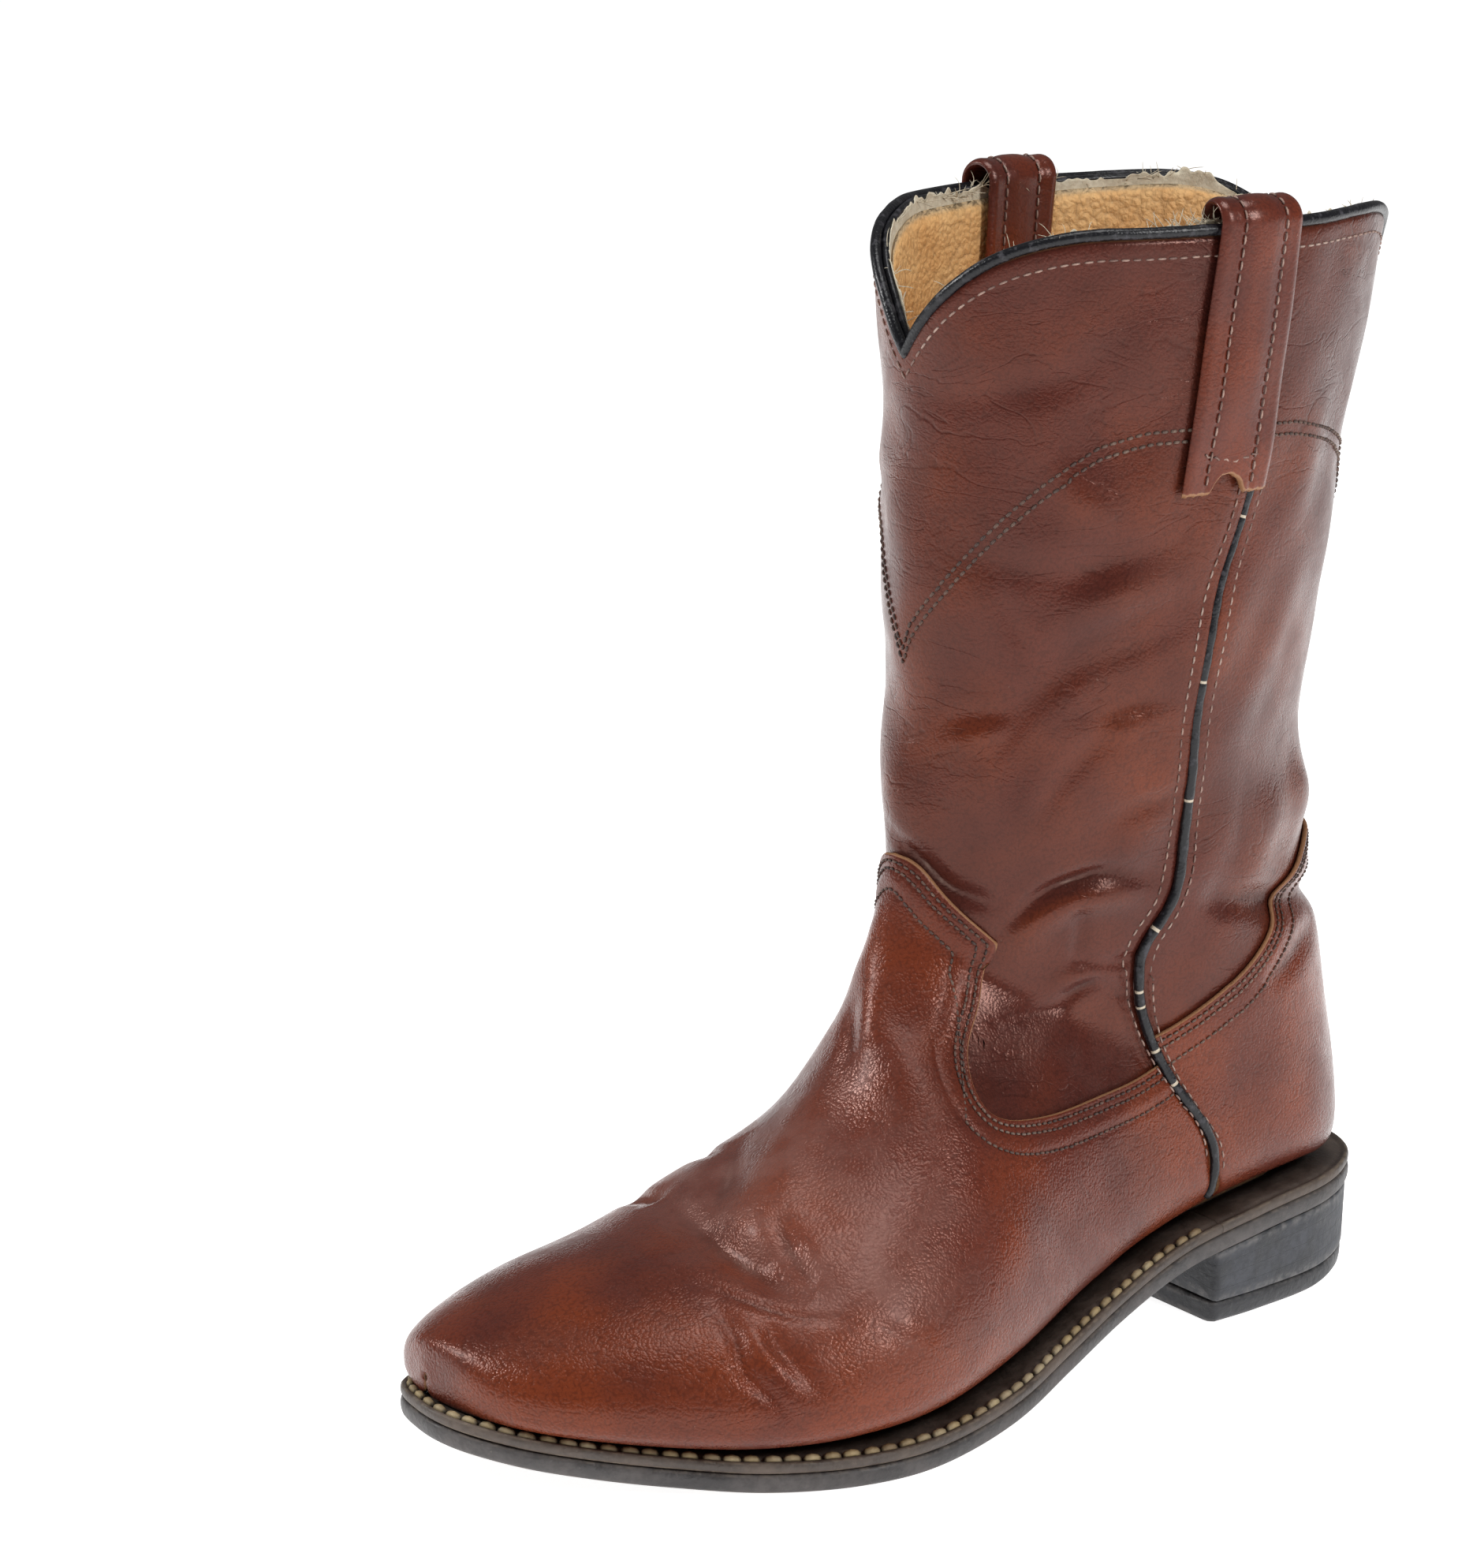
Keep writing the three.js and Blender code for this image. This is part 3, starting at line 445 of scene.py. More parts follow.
inner_folds = [
    (1.5, 3.0, [(-16, -214, 40), (-28, -210, 34), (-36, -204, 27), (-42, -198, 18)]),
    (2.0, 3.6, [(-14, -200, 53), (-26, -197, 46), (-36, -190, 38), (-41, -184, 28)]),
    (1.2, 3.0, [(-16, -182, 62), (-26, -178, 55), (-35, -172, 46), (-41, -168, 34)]),
    (1.6, 3.0, [(-22, -120, 116), (-28, -111, 122), (-33, -100, 124), (-37, -86, 122)]),
    (-1.4, 4.5, [(-22, -121, 124), (-30, -108, 130), (-36, -92, 131)]),
    (1.2, 2.4, [(-24, -112, 95), (-29, -101, 99), (-32, -90, 97)]),
    (1.0, 3.0, [(-20, -125, 150), (-29, -114, 157), (-36, -100, 160), (-40, -88, 158)]),
    (1.0, 4.0, [(-18, -127, 185), (-28, -117, 190), (-36, -104, 190), (-42, -88, 186)]),
    (-1.0, 6.0, [(-20, -125, 200), (-32, -112, 204), (-41, -94, 202)]),
    (0.9, 4.0, [(-14, -131, 226), (-28, -118, 222), (-38, -102, 224)]),
    (1.8, 4.0, [(-38, -66, 122), (-36, -44, 118), (-28, -24, 113), (-14, -10, 109)]),
    (1.0, 5.0, [(-42, -60, 165), (-38, -38, 172), (-28, -18, 176)]),
    (1.1, 3.0, [(-36, -52, 92), (-33, -38, 97), (-26, -22, 103)]),
]
fold_strength = 1.25
waves = np.random.default_rng(7)
wave_runs = waves.normal(size=(26, 3))
wave_runs *= (2 * np.pi / waves.uniform(16, 60, 26) / np.linalg.norm(wave_runs, axis=1))[:, None]
wave_starts = waves.uniform(0, 2 * np.pi, 26)


def worn(points):
    """Outward move of the leather, and how creased it is. Each fold is depth times a bell of the
    distance from its line over its width, fading to its ends; slackness is a sum of sines."""
    move, crease = np.zeros(points.shape[:-1]), np.zeros(points.shape[:-1])
    for depth, width, line in outer_folds + inner_folds:
        path = curve_through(line, 5)
        close = (np.abs(points - np.clip(points, path.min(0), path.max(0))).max(-1) < 3.2 * width)
        if not close.any():
            continue
        gap, along = nearest(points[close], path)
        fade = np.sin(np.pi * np.clip(along, 0.02, 0.98)) ** 0.55
        bell = np.exp(-(gap / width) ** 2)
        move[close] -= fold_strength * depth * fade * bell
        if depth > 0:
            crease[close] = np.maximum(crease[close], fade * np.exp(-(gap / (0.42 * width + 0.3)) ** 2))
    slack = np.sin(points @ wave_runs.T + wave_starts).sum(-1) / 5
    loose = eased((points[..., 2] - 70) / 60) * (1 - 0.6 * eased((points[..., 2] - 225) / 60))
    stiff_toe = eased((-points[..., 1] - 205) / 18)
    return move + slack * (0.10 + 0.42 * loose) * (1 - 0.8 * stiff_toe), crease


def on_leather(turn, v, depth=0.0):
    """Points that far below the worn outside of the upper, in millimetres, and their normals."""
    base, normal = upper(turn, v), outward(turn, v)
    move, _ = worn(base)
    return base + normal * (move - depth)[..., None], normal


def leather_sheet(name, turn, v, border, finish, depth, thick, rim=0.8, grooves=()):
    """A closed sheet over the last from grids of turn and v: the outer face at depth, the inner one
    thick below it, both curving together to the border as a quarter round of radius rim. grooves
    are (path, distance, depth, width) channels that thread has pulled."""
    base, normal = upper(turn, v), outward(turn, v)
    move, crease = worn(base)
    gap, _ = nearest(base, border)
    round_ = thick / 2 * (1 - np.sqrt(np.clip(1 - (1 - np.clip(gap / rim, 0, 1)) ** 2, 0, 1)))
    edge = np.exp(-(gap / 0.55) ** 2)
    for path, distance, sunk, width in grooves:
        far, _ = nearest(base, path)
        move = move - sunk * np.exp(-((far - distance) / width) ** 2)
    depth = np.broadcast_to(depth, gap.shape)
    outer = base + normal * (move - depth - round_)[..., None]
    inner = base + normal * (move - depth - thick + round_)[..., None]
    rows, columns = gap.shape
    faces = grid_faces(rows, columns)
    points = np.vstack([outer.reshape(-1, 3), inner.reshape(-1, 3)])
    faces = np.vstack([faces, faces[:, ::-1] + rows * columns])
    across_ball = np.exp(-((base[..., 1] + 186) / 24) ** 2) * eased((base[..., 2] - 22) / 25)
    marks = {"crease": np.tile(crease.ravel(), 2), "edge": np.tile(edge.ravel(), 2),
             "high": np.tile(move.ravel(), 2), "dusty": np.tile(across_ball.ravel(), 2)}
    made = surface_mesh(name, row_frame(points), faces, finish, **marks)
    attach(made, "root")
    return made


def respaced(turn, v, near_edge, rows):
    """Columns of a grid given new rows: evenly along each column by length, then at the fixed
    distances near_edge from its last row."""
    p = upper(turn, v)
    length = np.vstack([np.zeros(p.shape[1]), np.cumsum(np.linalg.norm(np.diff(p, axis=0), axis=-1), 0)])
    whole = length[-1]
    reach = np.minimum(near_edge[0], 0.6 * whole)
    even = np.linspace(0, 1, rows)[:, None] ** 0.97 * (whole - reach)
    wanted = np.vstack([even, whole - np.asarray(near_edge[1:])[:, None] * (reach / near_edge[0])])
    new_turn, new_v = np.empty(wanted.shape), np.empty(wanted.shape)
    for c in range(p.shape[1]):
        new_turn[:, c] = np.interp(wanted[:, c], length[:, c], turn[:, c])
        new_v[:, c] = np.interp(wanted[:, c], length[:, c], v[:, c])
    return new_turn, new_v


# Distances of a sheet's last rows from its cut edge, closer together towards it.
edge_rows = np.array([16, 14.6, 13.2, 11.9, 10.7, 9.6, 8.6, 7.7, 6.9, 6.1, 5.4, 4.7, 4.1, 3.5, 2.9, 2.3, 1.8,
                      1.3, 0.9, 0.6, 0.35, 0.15, 0.0])


# ---------------------------------------------------------------------------------------------
# Leather finishes. Red-brown grain leather: a purplish ground, orange where polish and rubbing have
# warmed it, fine pebble grain that breaks up the shine, dust and pale lines in the creases, and painted shade
# darkening the folds.
def group_of(name, inputs, outputs):
    """An empty shader node group with named inputs (with their usual values) and outputs."""
    tree = bpy.data.node_groups.new(name, "ShaderNodeTree")
    for label, kind, value in inputs:
        socket = tree.interface.new_socket(label, in_out="INPUT", socket_type=kind)
        if value is not None:
            socket.default_value = value
    for label, kind in outputs:
        tree.interface.new_socket(label, in_out="OUTPUT", socket_type=kind)
    return tree, tree.nodes.new("NodeGroupInput"), tree.nodes.new("NodeGroupOutput")


def node(tree, kind, settings=None, **inputs):
    """A node with its settings, its inputs set to values or linked from sockets."""
    made = tree.nodes.new("ShaderNode" + kind)
    for key, value in (settings or {}).items():
        setattr(made, key, value)
    for key, value in inputs.items():
        socket = made.inputs[int(key[1:])] if key[0] == "i" and key[1:].isdigit() else made.inputs[
            key.replace("_", " ")]
        if isinstance(value, bpy.types.NodeSocket):
            tree.links.new(value, socket)
        else:
            socket.default_value = value
    return made


def maths(tree, operation, a, b=0.0, clamp=False):
    """The named operation on two numbers or sockets."""
    return node(tree, "Math", {"operation": operation, "use_clamp": clamp}, i0=a, i1=b).outputs[0]


def mixed(tree, share, a, b):
    """Colour a towards colour b by a share."""
    made = tree.nodes.new("ShaderNodeMix")
    made.data_type = "RGBA"
    for socket, value in zip((made.inputs[0], made.inputs[6], made.inputs[7]), (share, a, b)):
        if isinstance(value, bpy.types.NodeSocket):
            tree.links.new(value, socket)
        else:
            socket.default_value = value if not isinstance(value, tuple) or len(value) == 4 else (*value, 1)
    return made.outputs[2]


def laid(tree, under, over, mask, strength):
    """Colour over laid on colour under by a mask times a strength."""
    return mixed(tree, maths(tree, "MULTIPLY", mask, strength), under, over)


def scaled(colour, share):
    """A colour made darker by a share."""
    return tuple(share * c for c in colour)


def own_place(tree):
    """Where a point lies on its own object."""
    return tree.nodes.new("ShaderNodeTexCoord").outputs["Object"]


def stepped(tree, value, low, high):
    """0 below low, 1 above high, eased between."""
    return node(tree, "MapRange", {"interpolation_type": "SMOOTHSTEP"}, Value=value, From_Min=low,
                From_Max=high).outputs[0]


# Cloudy patches: noise over the piece, cut at a level with a soft edge.
patches, patch_in, patch_out = group_of(
    "patches", [("Size", "NodeSocketFloat", 30.0), ("Level", "NodeSocketFloat", 0.5),
                ("Softness", "NodeSocketFloat", 0.12), ("Detail", "NodeSocketFloat", 3.0)],
    [("Mask", "NodeSocketFloat")])
patch_at = own_place(patches)
patch_noise = node(patches, "TexNoise", Vector=patch_at, Scale=patch_in.outputs["Size"],
                   Detail=patch_in.outputs["Detail"], Roughness=0.55).outputs[0]
patches.links.new(
    stepped(patches, patch_noise,
            maths(patches, "SUBTRACT", patch_in.outputs["Level"], patch_in.outputs["Softness"]),
            maths(patches, "ADD", patch_in.outputs["Level"], patch_in.outputs["Softness"])),
    patch_out.inputs["Mask"])

# Pebble grain: small rounded cells with finer wrinkles drawn between them.
grain, grain_in, grain_out = group_of(
    "grain", [("Cells", "NodeSocketFloat", 1300.0), ("Wrinkles", "NodeSocketFloat", 0.5)],
    [("Height", "NodeSocketFloat"), ("Pores", "NodeSocketFloat")])
grain_at = own_place(grain)
grain_bend = node(grain, "TexNoise", Vector=grain_at, Scale=260.0, Detail=2.0)
grain_moved = node(grain, "VectorMath", {"operation": "MULTIPLY_ADD"}, i0=grain_bend.outputs["Color"],
                   i1=(0.0022, 0.0022, 0.0022), i2=grain_at).outputs[0]
grain_cells = node(grain, "TexVoronoi", {"feature": "SMOOTH_F1"}, Vector=grain_moved,
                   Scale=grain_in.outputs["Cells"], Smoothness=0.35).outputs["Distance"]
grain_fine = node(grain, "TexNoise", Vector=grain_moved, Scale=2000.0, Detail=3.0, Roughness=0.6).outputs[0]
grain_height = maths(grain, "SUBTRACT", maths(grain, "MULTIPLY", grain_fine, grain_in.outputs["Wrinkles"]),
                     grain_cells)
grain.links.new(grain_height, grain_out.inputs["Height"])
grain.links.new(stepped(grain, grain_cells, 0.42, 0.8), grain_out.inputs["Pores"])

# Scratches: noise stretched along one way and cut thin.
scratches, scratch_in, scratch_out = group_of(
    "scratches", [("Turn", "NodeSocketVector", (0.4, 0.2, 0.7)), ("Size", "NodeSocketFloat", 60.0),
                  ("Level", "NodeSocketFloat", 0.7)],
    [("Mask", "NodeSocketFloat")])
scratch_at = node(scratches, "Mapping", Vector=own_place(scratches),
                  Rotation=scratch_in.outputs["Turn"], Scale=(1.0, 14.0, 9.0)).outputs[0]
scratch_noise = node(scratches, "TexNoise", Vector=scratch_at, Scale=scratch_in.outputs["Size"], Detail=4.0,
                     Roughness=0.75).outputs[0]
scratches.links.new(
    stepped(scratches, scratch_noise, scratch_in.outputs["Level"],
            maths(scratches, "ADD", scratch_in.outputs["Level"], 0.05)), scratch_out.inputs["Mask"])

# Wrinkles: thin lines where a stretched noise crosses its middle.
wrinkles, wrinkle_in, wrinkle_out = group_of(
    "wrinkles", [("Turn", "NodeSocketVector", (0.5, 0.3, 0.0)), ("Size", "NodeSocketFloat", 34.0),
                 ("Width", "NodeSocketFloat", 0.03)],
    [("Lines", "NodeSocketFloat")])
wrinkle_at = node(wrinkles, "Mapping", Vector=own_place(wrinkles),
                  Rotation=wrinkle_in.outputs["Turn"], Scale=(1.0, 1.0, 2.4)).outputs[0]
wrinkle_noise = node(wrinkles, "TexNoise", Vector=wrinkle_at, Scale=wrinkle_in.outputs["Size"], Detail=3.0,
                     Roughness=0.6, Distortion=0.7).outputs[0]
wrinkle_gap = maths(wrinkles, "ABSOLUTE", maths(wrinkles, "SUBTRACT", wrinkle_noise, 0.5))
wrinkles.links.new(
    maths(wrinkles, "SUBTRACT", 1.0, stepped(wrinkles, wrinkle_gap, 0.0, wrinkle_in.outputs["Width"])),
    wrinkle_out.inputs["Lines"])


def placed(tree, group, **inputs):
    """A group node in a material, with its own values."""
    made = tree.nodes.new("ShaderNodeGroup")
    made.node_tree = group
    for key, value in inputs.items():
        made.inputs[key].default_value = value
    return made


def mask_of(tree, group, **inputs):
    """The first output of a group node with its own values."""
    return placed(tree, group, **inputs).outputs[0]


def marked(tree, name):
    """The number kept on the mesh under a name."""
    made = tree.nodes.new("ShaderNodeAttribute")
    made.attribute_name = name
    return made.outputs["Fac"]


def bumped(tree, shader, *heights):
    """Bump nodes chained into the shader's normal: (height socket, strength, distance)."""
    normal = None
    for height, strength, distance in heights:
        bump = node(tree, "Bump", Height=height, Strength=strength, Distance=distance)
        if normal:
            tree.links.new(normal, bump.inputs["Normal"])
        normal = bump.outputs[0]
    tree.links.new(normal, shader.inputs["Normal"])


def grain_leather(name, ground, warm, deep, warm_level, roughness, grain_strength, coat=0.10, wrinkled=0.6):
    """Polished grain leather: ground towards deep by clouds, towards warm where raised or rubbed, then
    pores, painted shade in the folds, wrinkles, dust, scuffs and the pale cut edge laid over each other by their
    masks."""
    made, tree, shader = finish_of(name, roughness, coat=coat)
    shader.inputs["Specular IOR Level"].default_value = 0.42
    shader.inputs["Specular Tint"].default_value = (1.0, 0.55, 0.45, 1)
    big = mask_of(tree, patches, Size=26.0, Level=0.5, Softness=0.16)
    small = mask_of(tree, patches, Size=95.0, Level=0.52, Softness=0.2, Detail=5.0)
    tint = laid(tree, ground, deep, big, 0.6)
    warmth = mask_of(tree, patches, Size=21.0, Level=warm_level, Softness=0.13, Detail=2.5)
    raised = stepped(tree, marked(tree, "high"), -0.2, 1.6)
    warmth = maths(tree, "ADD", warmth, maths(tree, "MULTIPLY", raised, 0.5), True)
    warmth = maths(tree, "MULTIPLY", warmth, 0.7)
    tint = mixed(tree, warmth, tint, warm)
    tint = laid(tree, tint, deep, small, 0.30)
    grained = placed(tree, grain)
    tint = laid(tree, tint, scaled(deep, 0.45), grained.outputs["Pores"], 0.35)
    crease = marked(tree, "crease")
    # painted shade: the bottoms of the fold dents are darkened towards deep brown, standing in for shadow
    crease_shade = maths(tree, "MULTIPLY", stepped(tree, crease, 0.25, 0.95), 0.5)
    tint = mixed(tree, crease_shade, tint, scaled(deep, 0.35))
    loose = mask_of(tree, patches, Size=14.0, Level=0.5, Softness=0.12)
    drawn = mask_of(tree, wrinkles)
    finer = mask_of(tree, wrinkles, Size=110.0, Width=0.05, Turn=(-0.4, 0.5, 0.2))
    lines = maths(tree, "MULTIPLY", maths(tree, "MAXIMUM", drawn, maths(tree, "MULTIPLY", finer, 0.3)),
                  maths(tree, "MULTIPLY", loose, wrinkled))
    tint = laid(tree, tint, scaled(deep, 0.3), lines, 0.4)
    dust = mask_of(tree, patches, Size=300.0, Level=0.5, Softness=0.2)
    dusty = maths(tree, "MULTIPLY", maths(tree, "MULTIPLY", stepped(tree, crease, 0.80, 1.0), dust), 0.45)
    tint = mixed(tree, dusty, tint, (0.30, 0.21, 0.17))
    uneven = maths(tree, "ADD", 0.25, maths(tree, "MULTIPLY", small, 0.4))
    film = maths(tree, "MULTIPLY", marked(tree, "dusty"), uneven)
    tint = mixed(tree, film, tint, (0.225, 0.105, 0.085))
    scuffs = mask_of(tree, scratches, Size=38.0, Level=0.715)
    tint = laid(tree, tint, (0.34, 0.22, 0.17), scuffs, 0.30)
    edge = maths(tree, "MULTIPLY", stepped(tree, marked(tree, "edge"), 0.42, 0.8), 0.85)
    tint = mixed(tree, edge, tint, (0.30, 0.155, 0.075))
    tree.links.new(tint, shader.inputs["Base Color"])
    rough = maths(tree, "ADD", roughness - 0.06, maths(tree, "MULTIPLY", small, 0.16))
    rough = maths(tree, "ADD", rough, maths(tree, "MULTIPLY", edge, 0.35), True)
    tree.links.new(rough, shader.inputs["Roughness"])
    bumped(tree, shader, (grained.outputs["Height"], grain_strength, 0.00035),
           (maths(tree, "MULTIPLY", lines, -1.0), 0.35, 0.0006),
           (maths(tree, "MULTIPLY", scuffs, -1.0), 0.25, 0.0003))
    return made


vamp_leather = grain_leather(
    "vamp_leather", (0.118, 0.024, 0.014), (0.200, 0.038, 0.011), (0.062, 0.014, 0.010), 0.54, 0.26, 0.42,
    wrinkled=0.25)
shaft_leather = grain_leather(
    "shaft_leather", (0.083, 0.018, 0.0118), (0.150, 0.030, 0.0095), (0.044, 0.011, 0.009), 0.56, 0.27, 0.22)


# ---------------------------------------------------------------------------------------------
# Vamp: the forepart's leather, lasted under at the feather and rising to a tongue in front, with a
# point at each side and a scoop back to the side seam. Its cut edge lies over the shaft.
skin_thick = 1.5
vamp_bottom_v = 9.2
vamp_half_edge = np.vstack([vamp_front, vamp_scoop[1:]])
edge_turns, edge_vs = on_side(vamp_half_edge)
start = np.argmax(edge_turns > 0.02) - 1
stop = len(edge_turns) - np.argmax((edge_turns < seam_turn(edge_vs))[::-1])
edge_turns, edge_vs = edge_turns[start:stop].copy(), edge_vs[start:stop].copy()
edge_turns[0] = 0.0
point_at = len(vamp_front) - 1 - start
scoop_at = np.argmin(edge_vs)


def along_edge(first, last, count):
    """turn and v of count places evenly by length along part of the vamp's edge."""
    t, v = edge_turns[first:last + 1], edge_vs[first:last + 1]
    length = run_along(upper(t, v))
    at = np.linspace(0, length[-1], count)
    return np.interp(at, length, t), np.interp(at, length, v)


tongue_columns, inner_columns, quarter_columns = 26, 24, 36
parts = [along_edge(0, point_at, tongue_columns + 1), along_edge(point_at, scoop_at, inner_columns + 1),
         along_edge(scoop_at, len(edge_vs) - 1, quarter_columns + 1)]
rim_turn = np.concatenate([parts[0][0], parts[1][0][1:], parts[2][0][1:]])
rim_v = np.concatenate([parts[0][1], parts[1][1][1:], parts[2][1][1:]])
split = tongue_columns + inner_columns
foot_share = np.concatenate([
    np.linspace(0, 1, split + 1) * rim_turn[split] / feather_turn,
    rim_turn[split] / feather_turn + np.linspace(0, 1, quarter_columns + 1)[1:] * (
        1 - rim_turn[split] / feather_turn)])
low_v = np.linspace(-1, vamp_bottom_v, 90)[:, None]
low_turn = foot_share[None] * (np.pi - (np.pi - feather_turn) * eased((low_v + 1) / 1.8))
low_v = low_v + 0 * low_turn
s = np.linspace(0, 1, 70)[:, None]
high_turn = (1 - s) * foot_share[None] * feather_turn + s * rim_turn[None]
high_v = (1 - s) * vamp_bottom_v + s * rim_v[None]
side_v = vamp_bottom_v + s[:, 0] * (rim_v[-1] - vamp_bottom_v)
side_shift = bottom_turn(side_v) - high_turn[:, -1]
reach_out = np.clip((np.arange(len(rim_turn)) - split) / quarter_columns, 0, 1)[None] ** 1.2
high_turn = high_turn + side_shift[:, None] * reach_out
half_turn, half_v = respaced(
    np.vstack([low_turn, high_turn[1:]]), np.vstack([low_v, high_v[1:]]), edge_rows, 150)
vamp_turn = np.hstack([-half_turn[:, :0:-1], half_turn])
vamp_v = np.hstack([half_v[:, :0:-1], half_v])
vamp_edge = upper(vamp_turn[-1], vamp_v[-1])
vamp_sides = [upper(vamp_turn[:, k], vamp_v[:, k]) for k in (0, -1)]
vamp_border = np.vstack([vamp_sides[0], vamp_edge[1:], vamp_sides[1][::-1][1:]])
vamp_stitch_gaps = (1.8, 3.8, 9.0)
vamp = leather_sheet(
    "vamp", vamp_turn, vamp_v, vamp_border, vamp_leather, 0.0, skin_thick,
    grooves=[(vamp_edge, gap, 0.28, 0.55) for gap in vamp_stitch_gaps] + [(vamp_edge, 6.4, -0.25, 1.6)])
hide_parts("vamp")


# ---------------------------------------------------------------------------------------------
# Counter: the leather round the heel, lasted under like the vamp, seamed to it under the bead. Its
# upper edge climbs from each seam to the back of the heel.
counter_turns, counter_vs = on_side(counter_line)
first = np.argmax(counter_turns > seam_turn(counter_vs))
counter_turns, counter_vs = counter_turns[first:], counter_vs[first:]
counter_turns = np.minimum(np.maximum.accumulate(counter_turns), np.pi)
closing = np.argmax(counter_turns > 3.1)
counter_turns, counter_vs = counter_turns[:closing + 1], counter_vs[:closing + 1]
counter_turns[-1] = np.pi
counter_columns = 64
rim_length = run_along(upper(counter_turns, counter_vs))
rim_at = np.linspace(0, rim_length[-1], counter_columns)
counter_rim_turn, counter_rim_v = (np.interp(rim_at, rim_length, c) for c in (counter_turns, counter_vs))
share = np.linspace(0, 1, counter_columns)[None]
s = np.linspace(0, 1, 90)[:, None]
heel_foot_v = 13.55
foot_turn = feather_turn + (np.pi - feather_turn) * share
foot_v = seam_foot_v + (heel_foot_v - seam_foot_v) * np.sin(np.pi / 2 * share)
c_turn = (1 - s) * foot_turn + s * counter_rim_turn[None]
c_v = (1 - s) * foot_v + s * counter_rim_v[None]
seam_side_v = seam_foot_v + s[:, 0] * (counter_rim_v[0] - seam_foot_v)
c_turn = c_turn + (bottom_turn(seam_side_v) - c_turn[:, 0])[:, None] * (1 - share) ** 2.5
c_turn, c_v = respaced(c_turn, c_v, edge_rows, 62)
counter_turn = np.hstack([c_turn, 2 * np.pi - c_turn[:, -2::-1]])
counter_v = np.hstack([c_v, c_v[:, -2::-1]])


def wrapped(turn):
    """turn brought back between minus pi and pi."""
    return (turn + np.pi) % (2 * np.pi) - np.pi


counter_edge = upper(wrapped(counter_turn[-1]), counter_v[-1])
counter_border = np.vstack([
    upper(wrapped(counter_turn[:, 0]), counter_v[:, 0]), counter_edge[1:],
    upper(wrapped(counter_turn[:, -1]), counter_v[:, -1])[::-1][1:],
    upper(wrapped(counter_turn[0]), counter_v[0])[::-1][1:]])
counter = leather_sheet(
    "counter", wrapped(counter_turn), counter_v, counter_border, vamp_leather, 0.0, skin_thick,
    grooves=[(counter_edge, gap, 0.28, 0.55) for gap in vamp_stitch_gaps])
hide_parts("counter")


# ---------------------------------------------------------------------------------------------
# Shaft: a front and a back of softer calf, their lower edges under the vamp and the counter, their
# tops cut to the dipping topline and bound with a bead.
shaft_thick = 1.4
shaft_under = skin_thick + 0.25
tucked = np.array([(0, 14.6), (0.15, 13.0), (0.3, 10.6), (0.45, 8.6), (0.6, 7.9), (0.8, 8.0), (1.0, 8.8),
                   (1.12, 10.2), (1.3, 11.6)])


def shaft_depth_at(v):
    """How far below the last's outside the shaft lies: under the vamp low down, near it higher up."""
    return shaft_under - (shaft_under - 0.3) * eased((v - 17.3) / 2.2)


def shaft_grid(turn_low, turn_high, columns, low_v_at, rows):
    """turn and v of a shaft half: columns between two sides that follow the seam, rows evenly spaced in v from a
    hidden lower edge to the topline."""
    s = np.linspace(0, 1, columns)
    top_turn = turn_low(22.0) + (turn_high(22.0) - turn_low(22.0)) * s
    top_v = at_height(wrapped(top_turn), topline)
    for _ in range(2):
        top_turn = turn_low(top_v) + (turn_high(top_v) - turn_low(top_v)) * s
        top_v = at_height(wrapped(top_turn), topline)
    bottom_v = low_v_at(s)
    v = bottom_v[None] + (top_v - bottom_v)[None] * np.linspace(0, 1, rows)[:, None]
    turn = turn_low(v) + (turn_high(v) - turn_low(v)) * s[None]
    return turn, v


def front_low(s):
    """v of the shaft front's hidden lower edge across its width."""
    turn = np.abs(2 * s - 1) * 1.3
    return np.interp(turn, tucked[:, 0], tucked[:, 1])


def back_low(s):
    """v of the shaft back's hidden lower edge across its width."""
    across = np.abs(2 * s - 1)
    return 16.9 - 3.9 * across ** 2.2


sf_turn, sf_v = shaft_grid(lambda v: -seam_turn(v), seam_turn, 150, front_low, 200)
sb_turn, sb_v = shaft_grid(seam_turn, lambda v: 2 * np.pi - seam_turn(v), 116, back_low, 150)


def frame_round(turn, v):
    """The path round a grid's four sides, on the last."""
    turn = wrapped(turn)
    ring = [(turn[:, 0], v[:, 0]), (turn[-1], v[-1]), (turn[::-1, -1], v[::-1, -1]),
            (turn[0, ::-1], v[0, ::-1])]
    return np.vstack([upper(*r)[:-1] for r in ring] + [upper(*ring[0])[:1]])


up_seam = np.linspace(11, 24, 90)
seam_stitch_gap = 4.2
seam_paths = [upper(side * seam_turn(up_seam), up_seam) for side in (1, -1)]
for name, turn, v in (("shaft_front", sf_turn, sf_v), ("shaft_back", sb_turn, sb_v)):
    piece = leather_sheet(
        name, wrapped(turn), v, frame_round(turn, v), shaft_leather, shaft_depth_at(v), shaft_thick, rim=0.9,
        grooves=[(path, seam_stitch_gap, 0.3, 0.7) for path in seam_paths])
    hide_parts(name)


